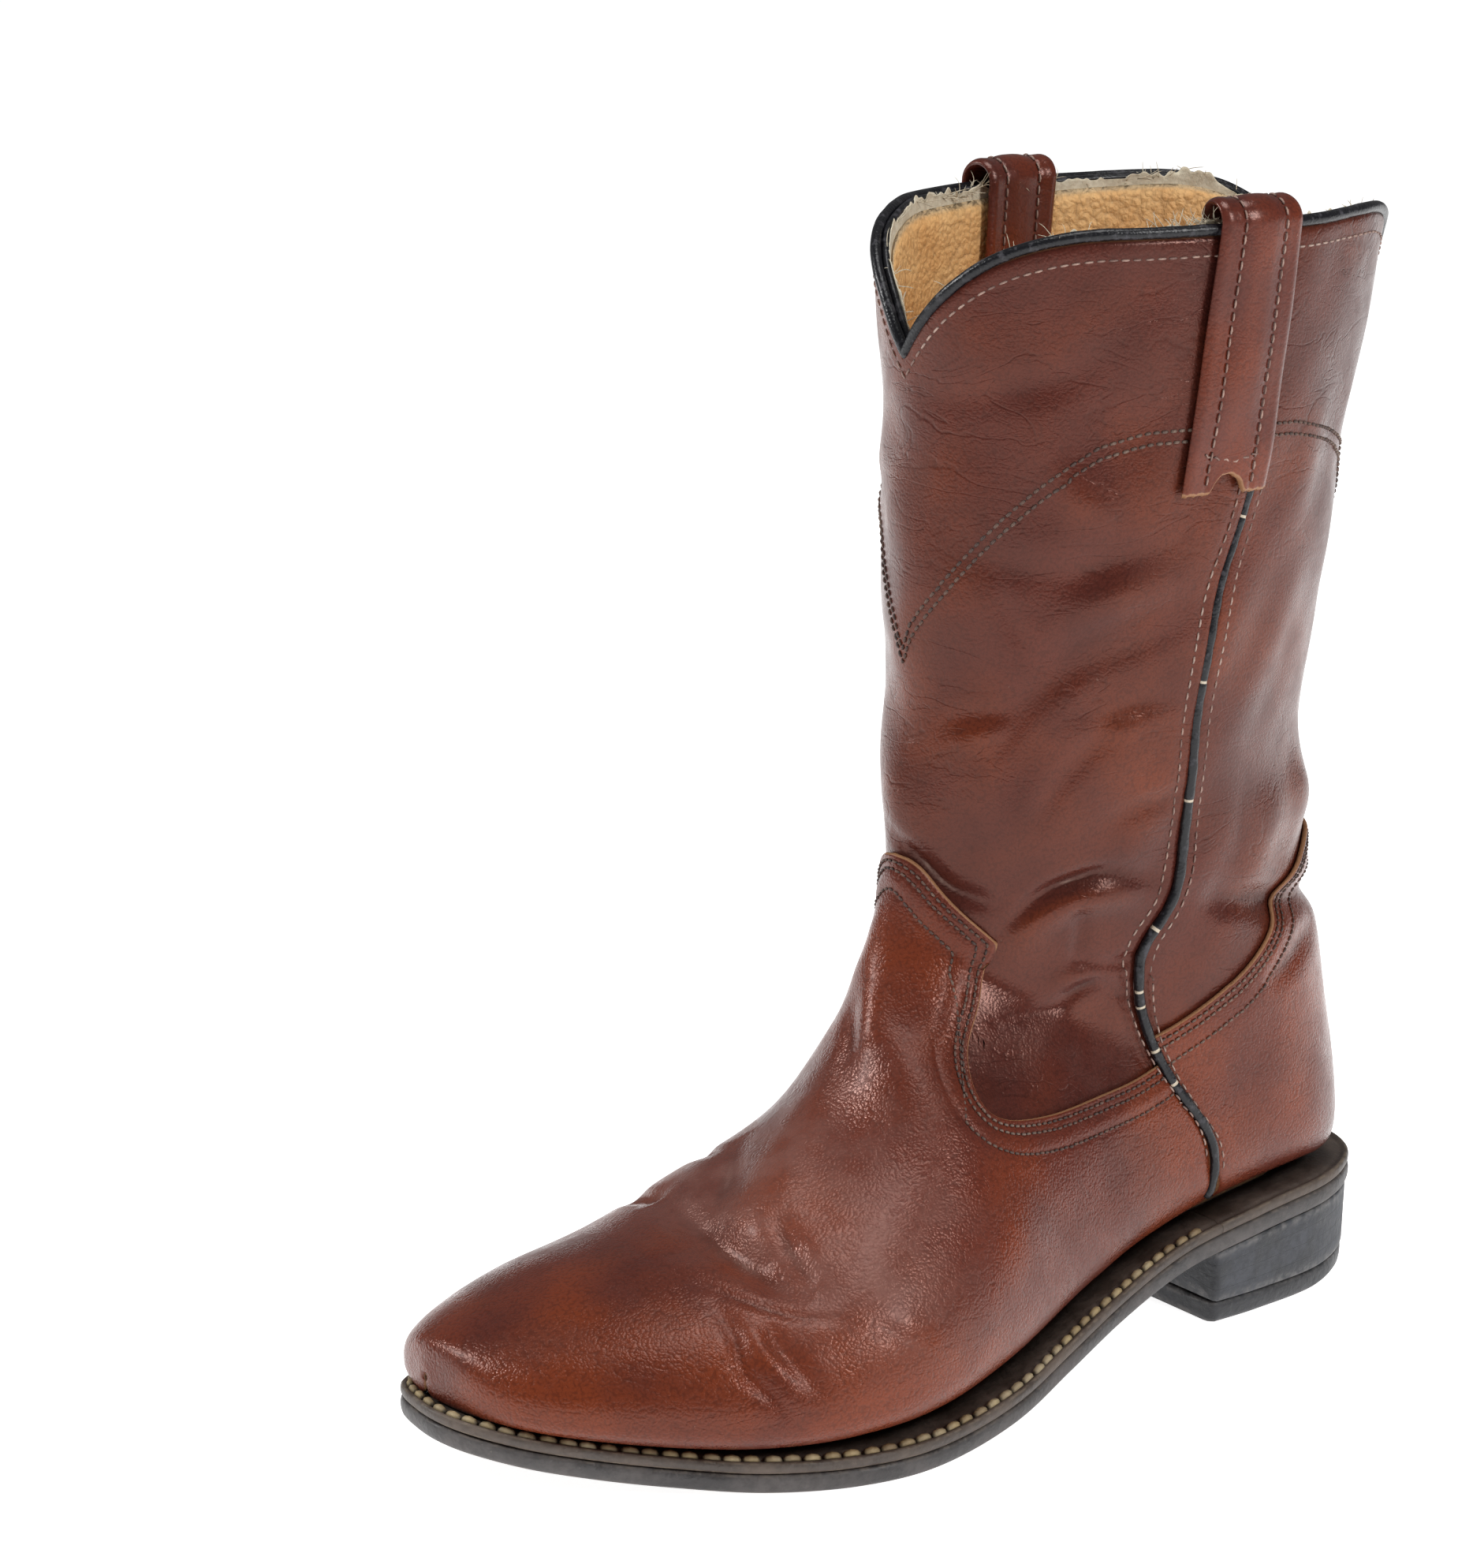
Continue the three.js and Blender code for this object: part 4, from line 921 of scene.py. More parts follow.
# ---------------------------------------------------------------------------------------------
# Side beads: a black leather roll sewn into each side seam, from the feather up under the pull
# strap. Years of flexing have cracked it across, and the cracks show its pale core.
def tube(name, path, radius, finish, sides=14, closed=False, **marks):
    """A round tube along a path in millimetres: rings square to the path, their frames set across one
    fixed slanting direction; closed joins the ends, otherwise they are drawn in."""
    path = np.asarray(path, float)
    run = np.roll(path, -1, 0) - np.roll(path, 1, 0) if closed else np.gradient(path, axis=0)
    run /= np.linalg.norm(run, axis=1, keepdims=True)
    guide = np.cross(run, [0.31, 0.17, 0.93])
    guide /= np.linalg.norm(guide, axis=1, keepdims=True)
    other = np.cross(run, guide)
    radius = np.broadcast_to(radius, len(path)).astype(float).copy()
    if not closed:
        radius[[0, -1]] = 1e-6
    a = np.linspace(0, 2 * np.pi, sides, endpoint=False)
    ring = guide[:, None] * np.cos(a)[None, :, None] + other[:, None] * np.sin(a)[None, :, None]
    points = path[:, None] + ring * radius[:, None, None]
    faces = grid_faces(len(path), sides, True)
    if closed:
        lead = np.arange(sides)
        last = lead + (len(path) - 1) * sides
        faces = np.vstack([faces, np.stack([last, np.roll(last, -1), np.roll(lead, -1), lead], -1)])
    kept = {k: np.repeat(v, sides) for k, v in marks.items()}
    return surface_mesh(name, row_frame(points.reshape(-1, 3)), faces, finish, **kept)


def bead_leather(name, colour, core, crack_level):
    """Shiny black roll: streaks of wear along it, its core showing where it is cracked."""
    made, tree, shader = finish_of(name, 0.3, coat=0.2)
    shader.inputs["Specular IOR Level"].default_value = 0.25
    worn_mask = mask_of(tree, patches, Size=420.0, Level=0.62, Softness=0.08, Detail=4.0)
    tint = laid(tree, colour, (0.10, 0.095, 0.11), worn_mask, 0.4)
    crack = stepped(tree, marked(tree, "crack"), crack_level, crack_level + 0.2)
    tint = mixed(tree, crack, tint, core)
    tree.links.new(tint, shader.inputs["Base Color"])
    rough = maths(tree, "ADD", 0.28, maths(tree, "MULTIPLY", worn_mask, 0.3))
    tree.links.new(rough, shader.inputs["Roughness"])
    bumped(tree, shader, (placed(tree, grain, Cells=1300.0).outputs["Height"], 0.35, 0.0003))
    return made


piping_leather = bead_leather("piping_leather", (0.006, 0.006, 0.008), (0.55, 0.47, 0.36), 0.5)
bead_radius = 1.35
cracks = np.array([70.0, 79.5, 92.0, 96.5, 113.0, 147.0, 178.0, 219.0])
bead_v = np.linspace(11.25, 21.1, 420)
for side, name in ((1, "left"), (-1, "right")):
    line, out = on_leather(side * seam_turn(bead_v), bead_v)
    line = line - out * (0.25 + 0.9 * eased((bead_v - 14) / 3))[:, None]
    split_at = np.abs(line[:, 2:3] - (cracks + (0 if side > 0 else 6))).min(1)
    girth = bead_radius * (1 + 0.05 * np.sin(line[:, 2] * 0.9) - 0.14 * np.exp(-(split_at / 0.45) ** 2))
    bead = tube(f"side_bead_{name}", line, girth, piping_leather, crack=np.exp(-(split_at / 0.5) ** 2))
    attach(bead, "root")
    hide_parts(f"side_piping_{name}")


# ---------------------------------------------------------------------------------------------
# Topline bead: the black roll that binds the shaft's top edge, with a second, flatter roll of the
# same piping turned inwards, frayed grey and cracked where hands pull the boot on.
def round_topline(count):
    """turn, v and height of places evenly round the topline."""
    dense = np.linspace(-np.pi, np.pi, 1441)[:-1]
    p = upper(dense, at_height(dense, topline))
    length = run_along(np.vstack([p, p[:1]]))
    turn = np.interp(np.linspace(0, length[-1], count, endpoint=False), length, np.append(dense, np.pi))
    return turn, at_height(turn, topline)


bead_places = 560
top_turn, top_v = round_topline(bead_places)
top_line, top_out = on_leather(top_turn, top_v)
steady = np.random.default_rng(11)


def ragged(count, most_waves, size):
    """Uneven heights round a loop: size times the sum of sines, 3 up to most_waves round it, each
    divided by the root of its count."""
    a = np.linspace(0, 2 * np.pi, count, endpoint=False)[:, None]
    k = np.arange(3, most_waves)
    return size * (np.sin(a * k + steady.uniform(0, 7, len(k))) / k**0.5).sum(1)


for name, depth, lift, radius, replaced in (
        ("topline_bead", 0.9, 0.7, 1.45, ["topline_piping"]), ("topline_roll", 3.3, 0.35, 1.0, [])):
    line = top_line - top_out * depth + np.array([0, 0, lift])
    wear = np.clip(ragged(bead_places, 90, 0.09) + 0.12 * (depth > 2), 0, 1)
    girth = radius * (1 + 0.03 * ragged(bead_places, 60, 1.0).clip(-1, 1))
    bead = tube(name, line, girth, piping_leather, closed=True, crack=wear)
    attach(bead, "root")
    if replaced:
        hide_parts(*replaced)


# ---------------------------------------------------------------------------------------------
# Lining: tan leather, cemented inside the shaft, with a doubled facing round the mouth; and a thinner
# one in the foot. Rubbing has crazed it, with darker specks in its grain.
# Its tan is painted lighter than the leather to stand in for light falling inside the mouth.
def tan_leather_painted_light():
    """Tan painted lighter than the leather to stand in for light inside the mouth, blotched darker; darker in
    its pores, paler where crazed and at the cut edge.
    """
    made, tree, shader = finish_of("lining_leather", 0.62)
    blotch = mask_of(tree, patches, Size=55.0, Level=0.5, Softness=0.2, Detail=5.0)
    # painted light: both tans are set lighter than the lining really is, standing in for light inside the shaft
    tint = mixed(tree, blotch, (0.85, 0.52, 0.22), (0.72, 0.38, 0.135))
    grained = placed(tree, grain, Cells=620.0)
    tint = laid(tree, tint, (0.22, 0.10, 0.035), grained.outputs["Pores"], 0.3)
    crazed = mask_of(tree, scratches, Size=90.0, Level=0.64, Turn=(0.2, 1.1, 0.4))
    tint = laid(tree, tint, (0.75, 0.58, 0.30), crazed, 0.65)
    edge = maths(tree, "MULTIPLY", stepped(tree, marked(tree, "edge"), 0.5, 0.9), 0.6)
    tint = mixed(tree, edge, tint, (0.58, 0.47, 0.30))
    tree.links.new(tint, shader.inputs["Base Color"])
    bumped(tree, shader, (grained.outputs["Height"], 0.8, 0.0008), (crazed, 0.4, 0.0004))
    return made


lining_leather = tan_leather_painted_light()
lining_depth = 4.4
lining_thick = 1.1
facing_drop = 24.0
for name, grid in (("shaft_lining_front", (sf_turn, sf_v)), ("shaft_lining_back", (sb_turn, sb_v))):
    turn, v = grid[0][::2, ::2], grid[1][::2, ::2]
    place = upper(wrapped(turn), v)
    facing = eased((place[..., 2] - topline(place) + facing_drop) / 1.5)
    piece = leather_sheet(name, wrapped(turn), v, frame_round(turn, v), lining_leather,
                          lining_depth - 0.4 * (1 - facing), lining_thick, rim=0.6)
    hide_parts(name)

# In the foot it stops at the feather on each side, and meets itself up the back of the heel. Its
# border is taken just inside its rim, so the two faces end a hair apart there.
just_inside = 0.9999
sock_open = 2.62
sock_v = np.linspace(0.6, 15.6, 90)[:, None] + np.zeros((1, 73))
sock_half = sock_open + (np.pi - sock_open) * eased((sock_v - 12.9) / 1.0)
sock_turn = np.linspace(-1, 1, 73)[None] * sock_half
foot_lining = leather_sheet(
    "vamp_lining", sock_turn, sock_v, frame_round(sock_turn * just_inside, sock_v), lining_leather, lining_depth,
    lining_thick, rim=0.6)
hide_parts("vamp_lining")


# ---------------------------------------------------------------------------------------------
# Topline tape: cream cotton between leather and lining. The lining has worn away from it along the
# edge, so a torn fringe and loose threads stand up behind the bead.
def canvas():
    """Cream cotton: two tones by a fine noise, greyed by grime in patches."""
    made, tree, shader = finish_of("tape_canvas", 0.9)
    fuzz = mask_of(tree, patches, Size=700.0, Level=0.5, Softness=0.3, Detail=4.0)
    grime = mask_of(tree, patches, Size=60.0, Level=0.6, Softness=0.15)
    tint = mixed(tree, fuzz, (0.72, 0.66, 0.52), (0.56, 0.49, 0.36))
    tint = laid(tree, tint, (0.30, 0.22, 0.14), grime, 0.5)
    tree.links.new(tint, shader.inputs["Base Color"])
    bumped(tree, shader, (fuzz, 0.6, 0.0003))
    return made


tape_canvas = canvas()
tape_depth = 4.15
tape_thick = 0.35
tape_places = 900
tape_turn, tape_v = round_topline(tape_places)
tape_base, tape_out = on_leather(tape_turn, tape_v, tape_depth)
tear = np.clip(0.9 + ragged(tape_places, 140, 0.62), 0.1, 3.2)
hidden = [on_leather(tape_turn, at_height(tape_turn, lambda p, drop=drop: topline(p) - drop), tape_depth)[0]
          for drop in (11.0, 6.5, 3.0)]
torn_share = np.array([0, 0.4, 0.75, 1.0])[:, None]
lean = 0.5 * torn_share**3 * ragged(tape_places, 70, 0.5)[None]
torn = tape_base[None] - tape_out[None] * lean[..., None] + (torn_share * tear[None])[..., None] * [0, 0, 1]
tape_face = np.concatenate([np.stack(hidden), torn])
tape_back = tape_face - tape_out[None] * tape_thick
tape_back[-1] = (tape_back[-1] + tape_face[-1]) / 2
tape_points = np.vstack([tape_face.reshape(-1, 3), tape_back.reshape(-1, 3)])
band = grid_faces(len(tape_face), tape_places, True)
behind = len(tape_face) * tape_places
foot_row = np.arange(tape_places)
closings = [np.stack([r, np.roll(r, -1), np.roll(r, -1) + behind, r + behind], -1)
            for r in (foot_row, foot_row + behind - tape_places)]
tape = surface_mesh("topline_tape", row_frame(tape_points),
                    np.vstack([band, band[:, ::-1] + behind, *closings]), tape_canvas)
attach(tape, "root")
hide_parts("topline_tape_front", "topline_tape_back")


def fibres(starts, ways, lengths, radius, rings=8, sides=4):
    """Thin curling threads: each goes its own way and bends by a sine and a cosine that grow with
    the square of the distance along it. Points and faces of all of them together."""
    n = len(starts)
    s = np.linspace(0, 1, rings)[None, :, None]
    ways = ways / np.linalg.norm(ways, axis=1, keepdims=True)
    side = np.cross(ways, steady.normal(size=(n, 3)))
    side /= np.linalg.norm(side, axis=1, keepdims=True)
    other = np.cross(ways, side)
    curl = steady.uniform(-1, 1, (n, 1, 1))
    line = starts[:, None] + lengths[:, None, None] * (
        ways[:, None] * s + side[:, None] * 0.45 * curl * s**2
        + other[:, None] * 0.3 * np.sin(3.5 * s * curl) * s)
    a = np.linspace(0, 2 * np.pi, sides, endpoint=False)
    cosine, sine = np.cos(a)[None, None, :, None], np.sin(a)[None, None, :, None]
    ring = side[:, None, None] * cosine + other[:, None, None] * sine
    taper = radius * (1 - 0.5 * s[..., None]) * np.where((s == 0) | (s == 1), 1e-5, 1.0)[..., None]
    points = line[:, :, None] + ring * taper
    faces = grid_faces(rings, sides, True)[None] + (np.arange(n) * rings * sides)[:, None, None]
    return points.reshape(-1, 3), faces.reshape(-1, 4)


# Threads stand thick beside the outer strap's front, thinner elsewhere.
thick_spots = np.concatenate([
    steady.integers(0, tape_places, 190), (steady.normal(0, 14, 120) + 640).astype(int),
    (steady.normal(0, 22, 90) + 250).astype(int)]) % tape_places
start_at = tape_face[-1][thick_spots] - [0, 0, 1.2]
wander = steady.normal(size=(len(thick_spots), 3)) * [0.8, 0.8, 0.35] - tape_out[thick_spots] * 0.5
thread_points, thread_faces = fibres(
    start_at, wander + [0, 0, 0.45], steady.uniform(1.5, 6.5, len(thick_spots)), 0.14)
fringe = surface_mesh("topline_fringe", row_frame(thread_points), thread_faces, tape_canvas)
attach(fringe, "root")


# ---------------------------------------------------------------------------------------------
# Pull straps: a strip of the shaft's leather with rolled edges, stitched along both sides, looped
# over the topline at each side and sewn down outside and inside. Its outer foot is arched over the bead.
strap_leather = grain_leather("strap_leather", (0.100, 0.020, 0.012), (0.19, 0.034, 0.009),
                              (0.060, 0.013, 0.010), 0.52, 0.26, 0.18, coat=0.3, wrinkled=0.15)
strap_half = 12.5
strap_thick = 2.2
strap_row_at = 6.3
strap_out, strap_in = -1.6, 7.8
strap_foot, strap_turn_at, strap_inner_foot = 226.0, 292.0, 246.0
strap_foot_y, strap_slant = -74.0, 0.115


def strap_spine(side, count):
    """turn, v, depth and extra height up the outer leg, over the loop and down inside: two straight
    legs in side view joined by a half circle across the depths."""
    radius = (strap_in - strap_out) / 2
    legs = np.array([strap_turn_at - strap_foot, np.pi * radius, strap_turn_at - strap_inner_foot])
    at = np.linspace(0, legs.sum(), count)
    arc = np.clip((at - legs[0]) / radius, 0, np.pi)
    falling = np.minimum(strap_turn_at, strap_turn_at - (at - legs[:2].sum()))
    z = np.where(at < legs[0], strap_foot + at, falling)
    depth = (strap_in + strap_out) / 2 - radius * np.cos(arc)
    y = strap_foot_y + (z - strap_foot) * strap_slant
    turn, v = on_side(np.stack([y, np.minimum(z, topline(upper(1.5, 20.0)) - 0.5)], -1))
    return side * turn, v, depth, np.maximum(0, z - boot_height + 0.5) + radius * np.sin(arc), at


def strap_surface(side, across, lift, foot_cut, count):
    """Points and normals of the strap: across is the distance from its middle, lift the height off
    its middle layer, foot_cut how much shorter the outer leg is at each place across."""
    turn, v, depth, rise, at = strap_spine(side, count)
    stretch = foot_cut[None] * np.clip(1 - at / 22, 0, 1)[:, None]
    step = upper(turn + 0.01, v) - upper(turn - 0.01, v)
    per_mm = 0.02 / np.linalg.norm(step, axis=1)
    wide_turn = turn[:, None] + side * across[None] * per_mm[:, None]
    wide_v = v[:, None] + 0 * wide_turn
    points, out = on_leather(wide_turn, wide_v, depth[:, None])
    up = np.array([0, 0, 1.0])
    arc = np.arccos(np.clip((strap_in + strap_out - 2 * depth) / (strap_in - strap_out), -1, 1))
    normal = out * np.cos(arc)[:, None, None] + up * np.sin(arc)[:, None, None]
    return points + up * (rise[:, None, None] + stretch[..., None]) + normal * lift[None, :, None], normal


# Across the strap: rolled rim, a pad between the two rows, and a groove where each row pulls. The
# two faces end less than a tenth of a millimetre apart along the rims.
across = strap_half * np.sin(np.linspace(-np.pi / 2, np.pi / 2, 61))
swell = np.sqrt(np.clip(1 - np.abs(across / strap_half) ** 7, 0, 1))
pad = 0.5 * np.exp(-(across / 4.2) ** 4) - 0.38 * np.exp(-((np.abs(across) - strap_row_at) / 0.6) ** 2)
edge_roll = 0.28 * np.exp(-((np.abs(across) - 10.6) / 1.6) ** 2)
foot_cut = (5.0 * np.clip(1 - (across / 4.6) ** 2, 0, 1) ** 0.6
            + 0.14 * np.sin(across * 2.3) + 0.1 * np.sin(across * 5.1))
strap_count = 170
strap_rows = {}
for side, name in ((1, "left"), (-1, "right")):
    top_face, _ = strap_surface(side, across, swell * strap_thick / 2 + pad + edge_roll, foot_cut, strap_count)
    under_face, _ = strap_surface(side, across, -swell * strap_thick / 2, foot_cut, strap_count)
    middle_face = (top_face + under_face) / 2
    for end in (0, -1):
        top_face[end] = under_face[end] = middle_face[end]
    points = np.vstack([top_face.reshape(-1, 3), under_face.reshape(-1, 3)])
    face = grid_faces(strap_count, len(across))
    near = np.zeros((strap_count, len(across)))
    near[:2] = near[-2:] = 1
    high = np.tile(pad * 2.2 - 0.25, (strap_count, 1))
    strap = surface_mesh(f"pull_strap_{name}", row_frame(points), np.vstack([face, face[:, ::-1] + near.size]),
                         strap_leather, edge=np.tile(near.ravel(), 2), high=np.tile(high.ravel(), 2),
                         crease=np.zeros(2 * near.size))
    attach(strap, "root")
    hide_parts(f"pull_strap_{name}")
    face_points, face_normals = strap_surface(
        side, np.array([-strap_row_at, strap_row_at]), np.full(2, strap_thick / 2), np.zeros(2), 700)
    strap_rows[name] = [(face_points[12:-12, k], face_normals[12:-12, k]) for k in (0, 1)]
    tie = np.linspace(-strap_row_at - 2.5, strap_row_at + 2.5, 40)
    tie_points, tie_normals = strap_surface(
        side, tie, np.full(len(tie), strap_thick / 2 + 0.1), np.zeros(len(tie)), strap_count)
    bow = 11 + np.round(2 * np.abs(tie / strap_row_at)).astype(int)
    columns = np.arange(len(tie))
    strap_rows[name].append((tie_points[bow, columns], tie_normals[bow, columns]))


# ---------------------------------------------------------------------------------------------
# Thread: lockstitches in rows, each one an arched bit of waxed thread whose ends go down into their
# holes. Brown on the leathers, paler where rubbed; thick cream cord holds the welt.
def thread_finish(name, light, dull, rubbed):
    """Twisted thread: a tone for each stitch, painted shade darkening it where it goes into the hole."""
    made, tree, shader = finish_of(name, 0.6)
    tint = mixed(tree, marked(tree, "tone"), dull, light)
    pale = mask_of(tree, patches, Size=34.0, Level=0.56, Softness=0.06)
    tint = laid(tree, tint, rubbed, pale, 0.6)
    # painted shade: each stitch's ends are darkened where the thread goes into its hole
    tint = mixed(tree, marked(tree, "tuck"), tint, scaled(dull, 0.16))
    tree.links.new(tint, shader.inputs["Base Color"])
    twist = node(tree, "TexNoise", Vector=own_place(tree), Scale=2600.0)
    bumped(tree, shader, (twist.outputs[0], 0.5, 0.0002))
    return made


def stitch_row(points, normals, pitch, length, radius, rise, sink):
    """Ring points, tones and painted hole shade of one row: stitches every pitch along it, each rising by a sine
    over its length."""
    run = run_along(points)
    count = int(run[-1] / pitch)
    starts = (np.arange(count) + 0.2) * pitch + steady.uniform(-0.05, 0.05, count) * pitch
    t = np.array([0, 0.0, 0.16, 0.5, 0.84, 1.0, 1.0])
    at = starts[:, None] + t * length * steady.uniform(0.93, 1.05, (count, 1))
    middle, out = read_at(at, run, points), read_at(at, run, normals)
    ahead = np.broadcast_to(middle[:, -1:] - middle[:, :1], middle.shape)
    aside = np.cross(out, ahead)
    aside /= np.linalg.norm(aside, axis=-1, keepdims=True)
    middle = middle + out * (rise * np.sin(np.pi * t) ** 0.7 - sink)[:, None]
    middle = middle + aside * (0.12 * radius * steady.normal(size=(count, 1, 1)))
    girth = radius * np.array([1e-4, 0.62, 0.9, 1.0, 0.9, 0.62, 1e-4])
    a = np.linspace(0, 2 * np.pi, 7)[:-1]
    ring = aside[:, :, None] * np.cos(a)[:, None] + out[:, :, None] * np.sin(a)[:, None]
    rings = middle[:, :, None] + ring * girth[None, :, None, None]
    # painted shade at the stitch ends, 1 where the thread enters its hole
    tuck = np.tile(np.array([1, 0.95, 0.25, 0, 0.25, 0.95, 1])[None, :, None], (count, 1, 6))
    tone = np.tile(steady.uniform(0, 1, (count, 1, 1)), (1, 7, 6))
    return rings.reshape(-1, 3), tone.ravel(), tuck.ravel()


def thread_piece(name, rows, finish, pitch, length, radius, rise=0.28, sink=0.05):
    """All the stitches of some rows as one piece, each stitch seven rings of six points."""
    made = [stitch_row(p, n, pitch, length, radius, rise, sink) for p, n in rows]
    points, tone, tuck = (np.concatenate([m[k] for m in made]) for k in range(3))
    starts = np.arange(0, len(points), 7 * 6)
    faces = grid_faces(7, 6, True)[None] + starts[:, None, None]
    piece = surface_mesh(name, row_frame(points), faces.reshape(-1, 4), finish, tone=tone, tuck=tuck)
    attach(piece, "root")


def inset_rows(turn, v, edge, gaps, depth=0.0):
    """Rows on a leather sheet at fixed distances from its last grid row, found along each column."""
    near_turn, near_v = turn[-len(edge_rows):], v[-len(edge_rows):]
    far, _ = nearest(upper(wrapped(near_turn), near_v), edge)
    rows = []
    for gap in gaps:
        here = [[np.interp(gap, far[::-1, c], kept[::-1, c]) for kept in (near_turn, near_v)]
                for c in range(far.shape[1]) if far[0, c] > gap]
        t, w = np.array(here).T
        fine = np.linspace(0, len(t) - 1, 6 * len(t))
        t, w = np.interp(fine, np.arange(len(t)), t), np.interp(fine, np.arange(len(w)), w)
        rows.append(on_leather(wrapped(t), w, depth))
    return rows


brown_thread = thread_finish("brown_thread", (0.125, 0.068, 0.048), (0.052, 0.026, 0.020), (0.24, 0.165, 0.125))
pale_thread = thread_finish("pale_thread", (0.40, 0.26, 0.21), (0.18, 0.10, 0.08), (0.48, 0.36, 0.30))
thread_piece("vamp_thread", inset_rows(vamp_turn, vamp_v, vamp_edge, vamp_stitch_gaps, 0.15), brown_thread,
             1.9, 1.5, 0.34)
thread_piece("counter_thread", inset_rows(counter_turn, counter_v, counter_edge, vamp_stitch_gaps, 0.15),
             brown_thread, 1.9, 1.5, 0.34)

seam_v = np.linspace(11.7, 20.9, 500)
seam_rows = []
for side in (1, -1):
    for offset in (-seam_stitch_gap, seam_stitch_gap):
        turn = seam_turn(seam_v)
        step = np.linalg.norm(upper(turn + 0.01, seam_v) - upper(turn - 0.01, seam_v), axis=1) / 0.02
        below = np.where(seam_v < 15.2, 0.1, shaft_depth_at(seam_v) + 0.25)
        seam_rows.append(on_leather(side * (turn + offset / step), seam_v, below))
thread_piece("seam_thread", seam_rows, pale_thread, 3.1, 2.3, 0.27)

round_turn = np.linspace(-np.pi, np.pi, 1400)
hem_v = at_height(round_turn, lambda p: topline(p) - 5.5)
front_arc = np.array([(0, 186), (3, 193), (13, 206), (23, 220), (32, 232), (38, 239), (43, 242), (52, 243.5)])
back_arc = np.array([(0, 174), (8, 195), (18, 214), (28, 229), (37, 235), (42, 238), (46, 241), (52, 243)])
shaft_rows_sewn = [on_leather(round_turn, hem_v, shaft_depth_at(hem_v) + 0.1)]
for drop in (0.0, 2.8):
    arc_v = at_height(round_turn, lambda p: np.where(
        p[..., 1] < shaft_axis, np.interp(np.abs(p[..., 0]), *front_arc.T),
        np.interp(np.abs(p[..., 0]), *back_arc.T)) - drop * np.where(np.abs(p[..., 0]) < 34, 1.25, 1.0))
    shaft_rows_sewn.append(on_leather(round_turn, arc_v, shaft_depth_at(arc_v) + 0.1))
thread_piece("hem_thread", shaft_rows_sewn[:1], pale_thread, 3.0, 2.3, 0.28)
thread_piece("arc_thread", shaft_rows_sewn[1:], brown_thread, 2.2, 1.75, 0.42, rise=0.34)
thread_piece("strap_thread", [row for rows in strap_rows.values() for row in rows], pale_thread,
             3.1, 2.3, 0.28, rise=0.25, sink=0.1)


# ---------------------------------------------------------------------------------------------
# Sole: an outsole with its edge inked black and worn round, the welt on it ahead of the heel with a
# groove for its cord, and the rand behind. The edges are scuffed grey-brown by the ground.
def loop_through(points, count):
    """A closed Catmull-Rom curve through points, with its places evenly spaced by length."""
    p = np.asarray(points, float)
    t = (np.arange(24) / 24)[None, :, None]
    a, b, c, d = (np.roll(p, 1 - k, 0)[:, None, :] for k in range(4))
    got = between(a, b, c, d, t).reshape(-1, 2)
    got = np.vstack([got, got[:1]])
    length = run_along(got)
    return read_at(np.linspace(0, length[-1], count, endpoint=False), length, got)


# The outline from the toe along the outer side to the heel and back along the inner side.
plan_count = 480
plan = loop_through(np.array([
    (5, 101), (18, 97.5), (28, 92.5), (38, 86.5), (49, 79.5), (57, 71), (58.5, 63.5), (54, 53), (46, 44),
    (38, 34.5), (32.5, 25), (31.5, 15), (28, 5.5), (16.5, -1.7), (0, -4), (-16.5, -1.7), (-28, 5.5),
    (-31.5, 15), (-30.5, 28), (-29, 40), (-31, 52), (-37, 63.5), (-40.5, 73), (-40, 82), (-34, 92),
    (-22, 99.5), (-8, 101.5)])
    * [ball_width / 100, -last_length / 100], plan_count)
plan = np.roll(plan, -np.argmin(plan[:, 1]), 0)
plan_run = np.roll(plan, -1, 0) - np.roll(plan, 1, 0)
plan_out = np.stack([-plan_run[:, 1], plan_run[:, 0]], -1)
plan_out /= np.linalg.norm(plan_out, axis=1, keepdims=True)
plan_out *= np.sign((plan_out * (plan - plan.mean(0))).sum(1).mean())
heel_index = np.argmax(plan[:, 1])
breast = -56.0
outer_breast = np.where(plan[:heel_index + 1, 1] > breast)[0][0]
inner_breast = heel_index + np.where(plan[heel_index:, 1] < breast)[0][0]


def ribbed(name, outer, inner, profile, low, high, finish, blunt=None):
    """A solid from ribs across: outer and inner are the two edges' places and plan normals, rib by
    rib. profile is (outward, share of height) up the edge; low and high give heights at y. blunt
    rounds the first rib's corners when it is a flat end."""
    (p, pn), (q, qn) = outer, inner
    share = np.linspace(0, 1, 15)[1:-1]
    out, up = profile.T
    right = p[:, None] + pn[:, None] * out[None, :, None]
    left = (q[:, None] + qn[:, None] * out[None, :, None])[:, ::-1]
    top = right[:, -1:] * (1 - share[None, :, None]) + left[:, :1] * share[None, :, None]
    bottom = left[:, -1:] * (1 - share[None, :, None]) + right[:, :1] * share[None, :, None]
    flat = np.concatenate([right, top, left, bottom], 1)
    level = np.concatenate([up, np.ones(len(share)), up[::-1], np.zeros(len(share))])
    z = low(flat[..., 1]) + (high(flat[..., 1]) - low(flat[..., 1])) * level[None]
    loops = np.concatenate([flat, z[..., None]], -1)
    if blunt:
        first = loops[0]
        centre = first.mean(0)
        ends = [first + (centre - first) * k + [0, -blunt * m, 0]
                for k, m in ((1.0, 1.0), (0.5, 1.0), (0.06, 1.0), (0.02, 0.7))]
        loops = np.concatenate([np.stack(ends), loops])
    around = loops.shape[1]
    edge = np.exp(-(np.minimum(level, 1 - level) / 0.16) ** 2)
    return surface_mesh(name, row_frame(loops.reshape(-1, 3)), grid_faces(len(loops), around, True), finish,
                        edge=np.tile(edge, len(loops)), level=np.tile(level, len(loops)))


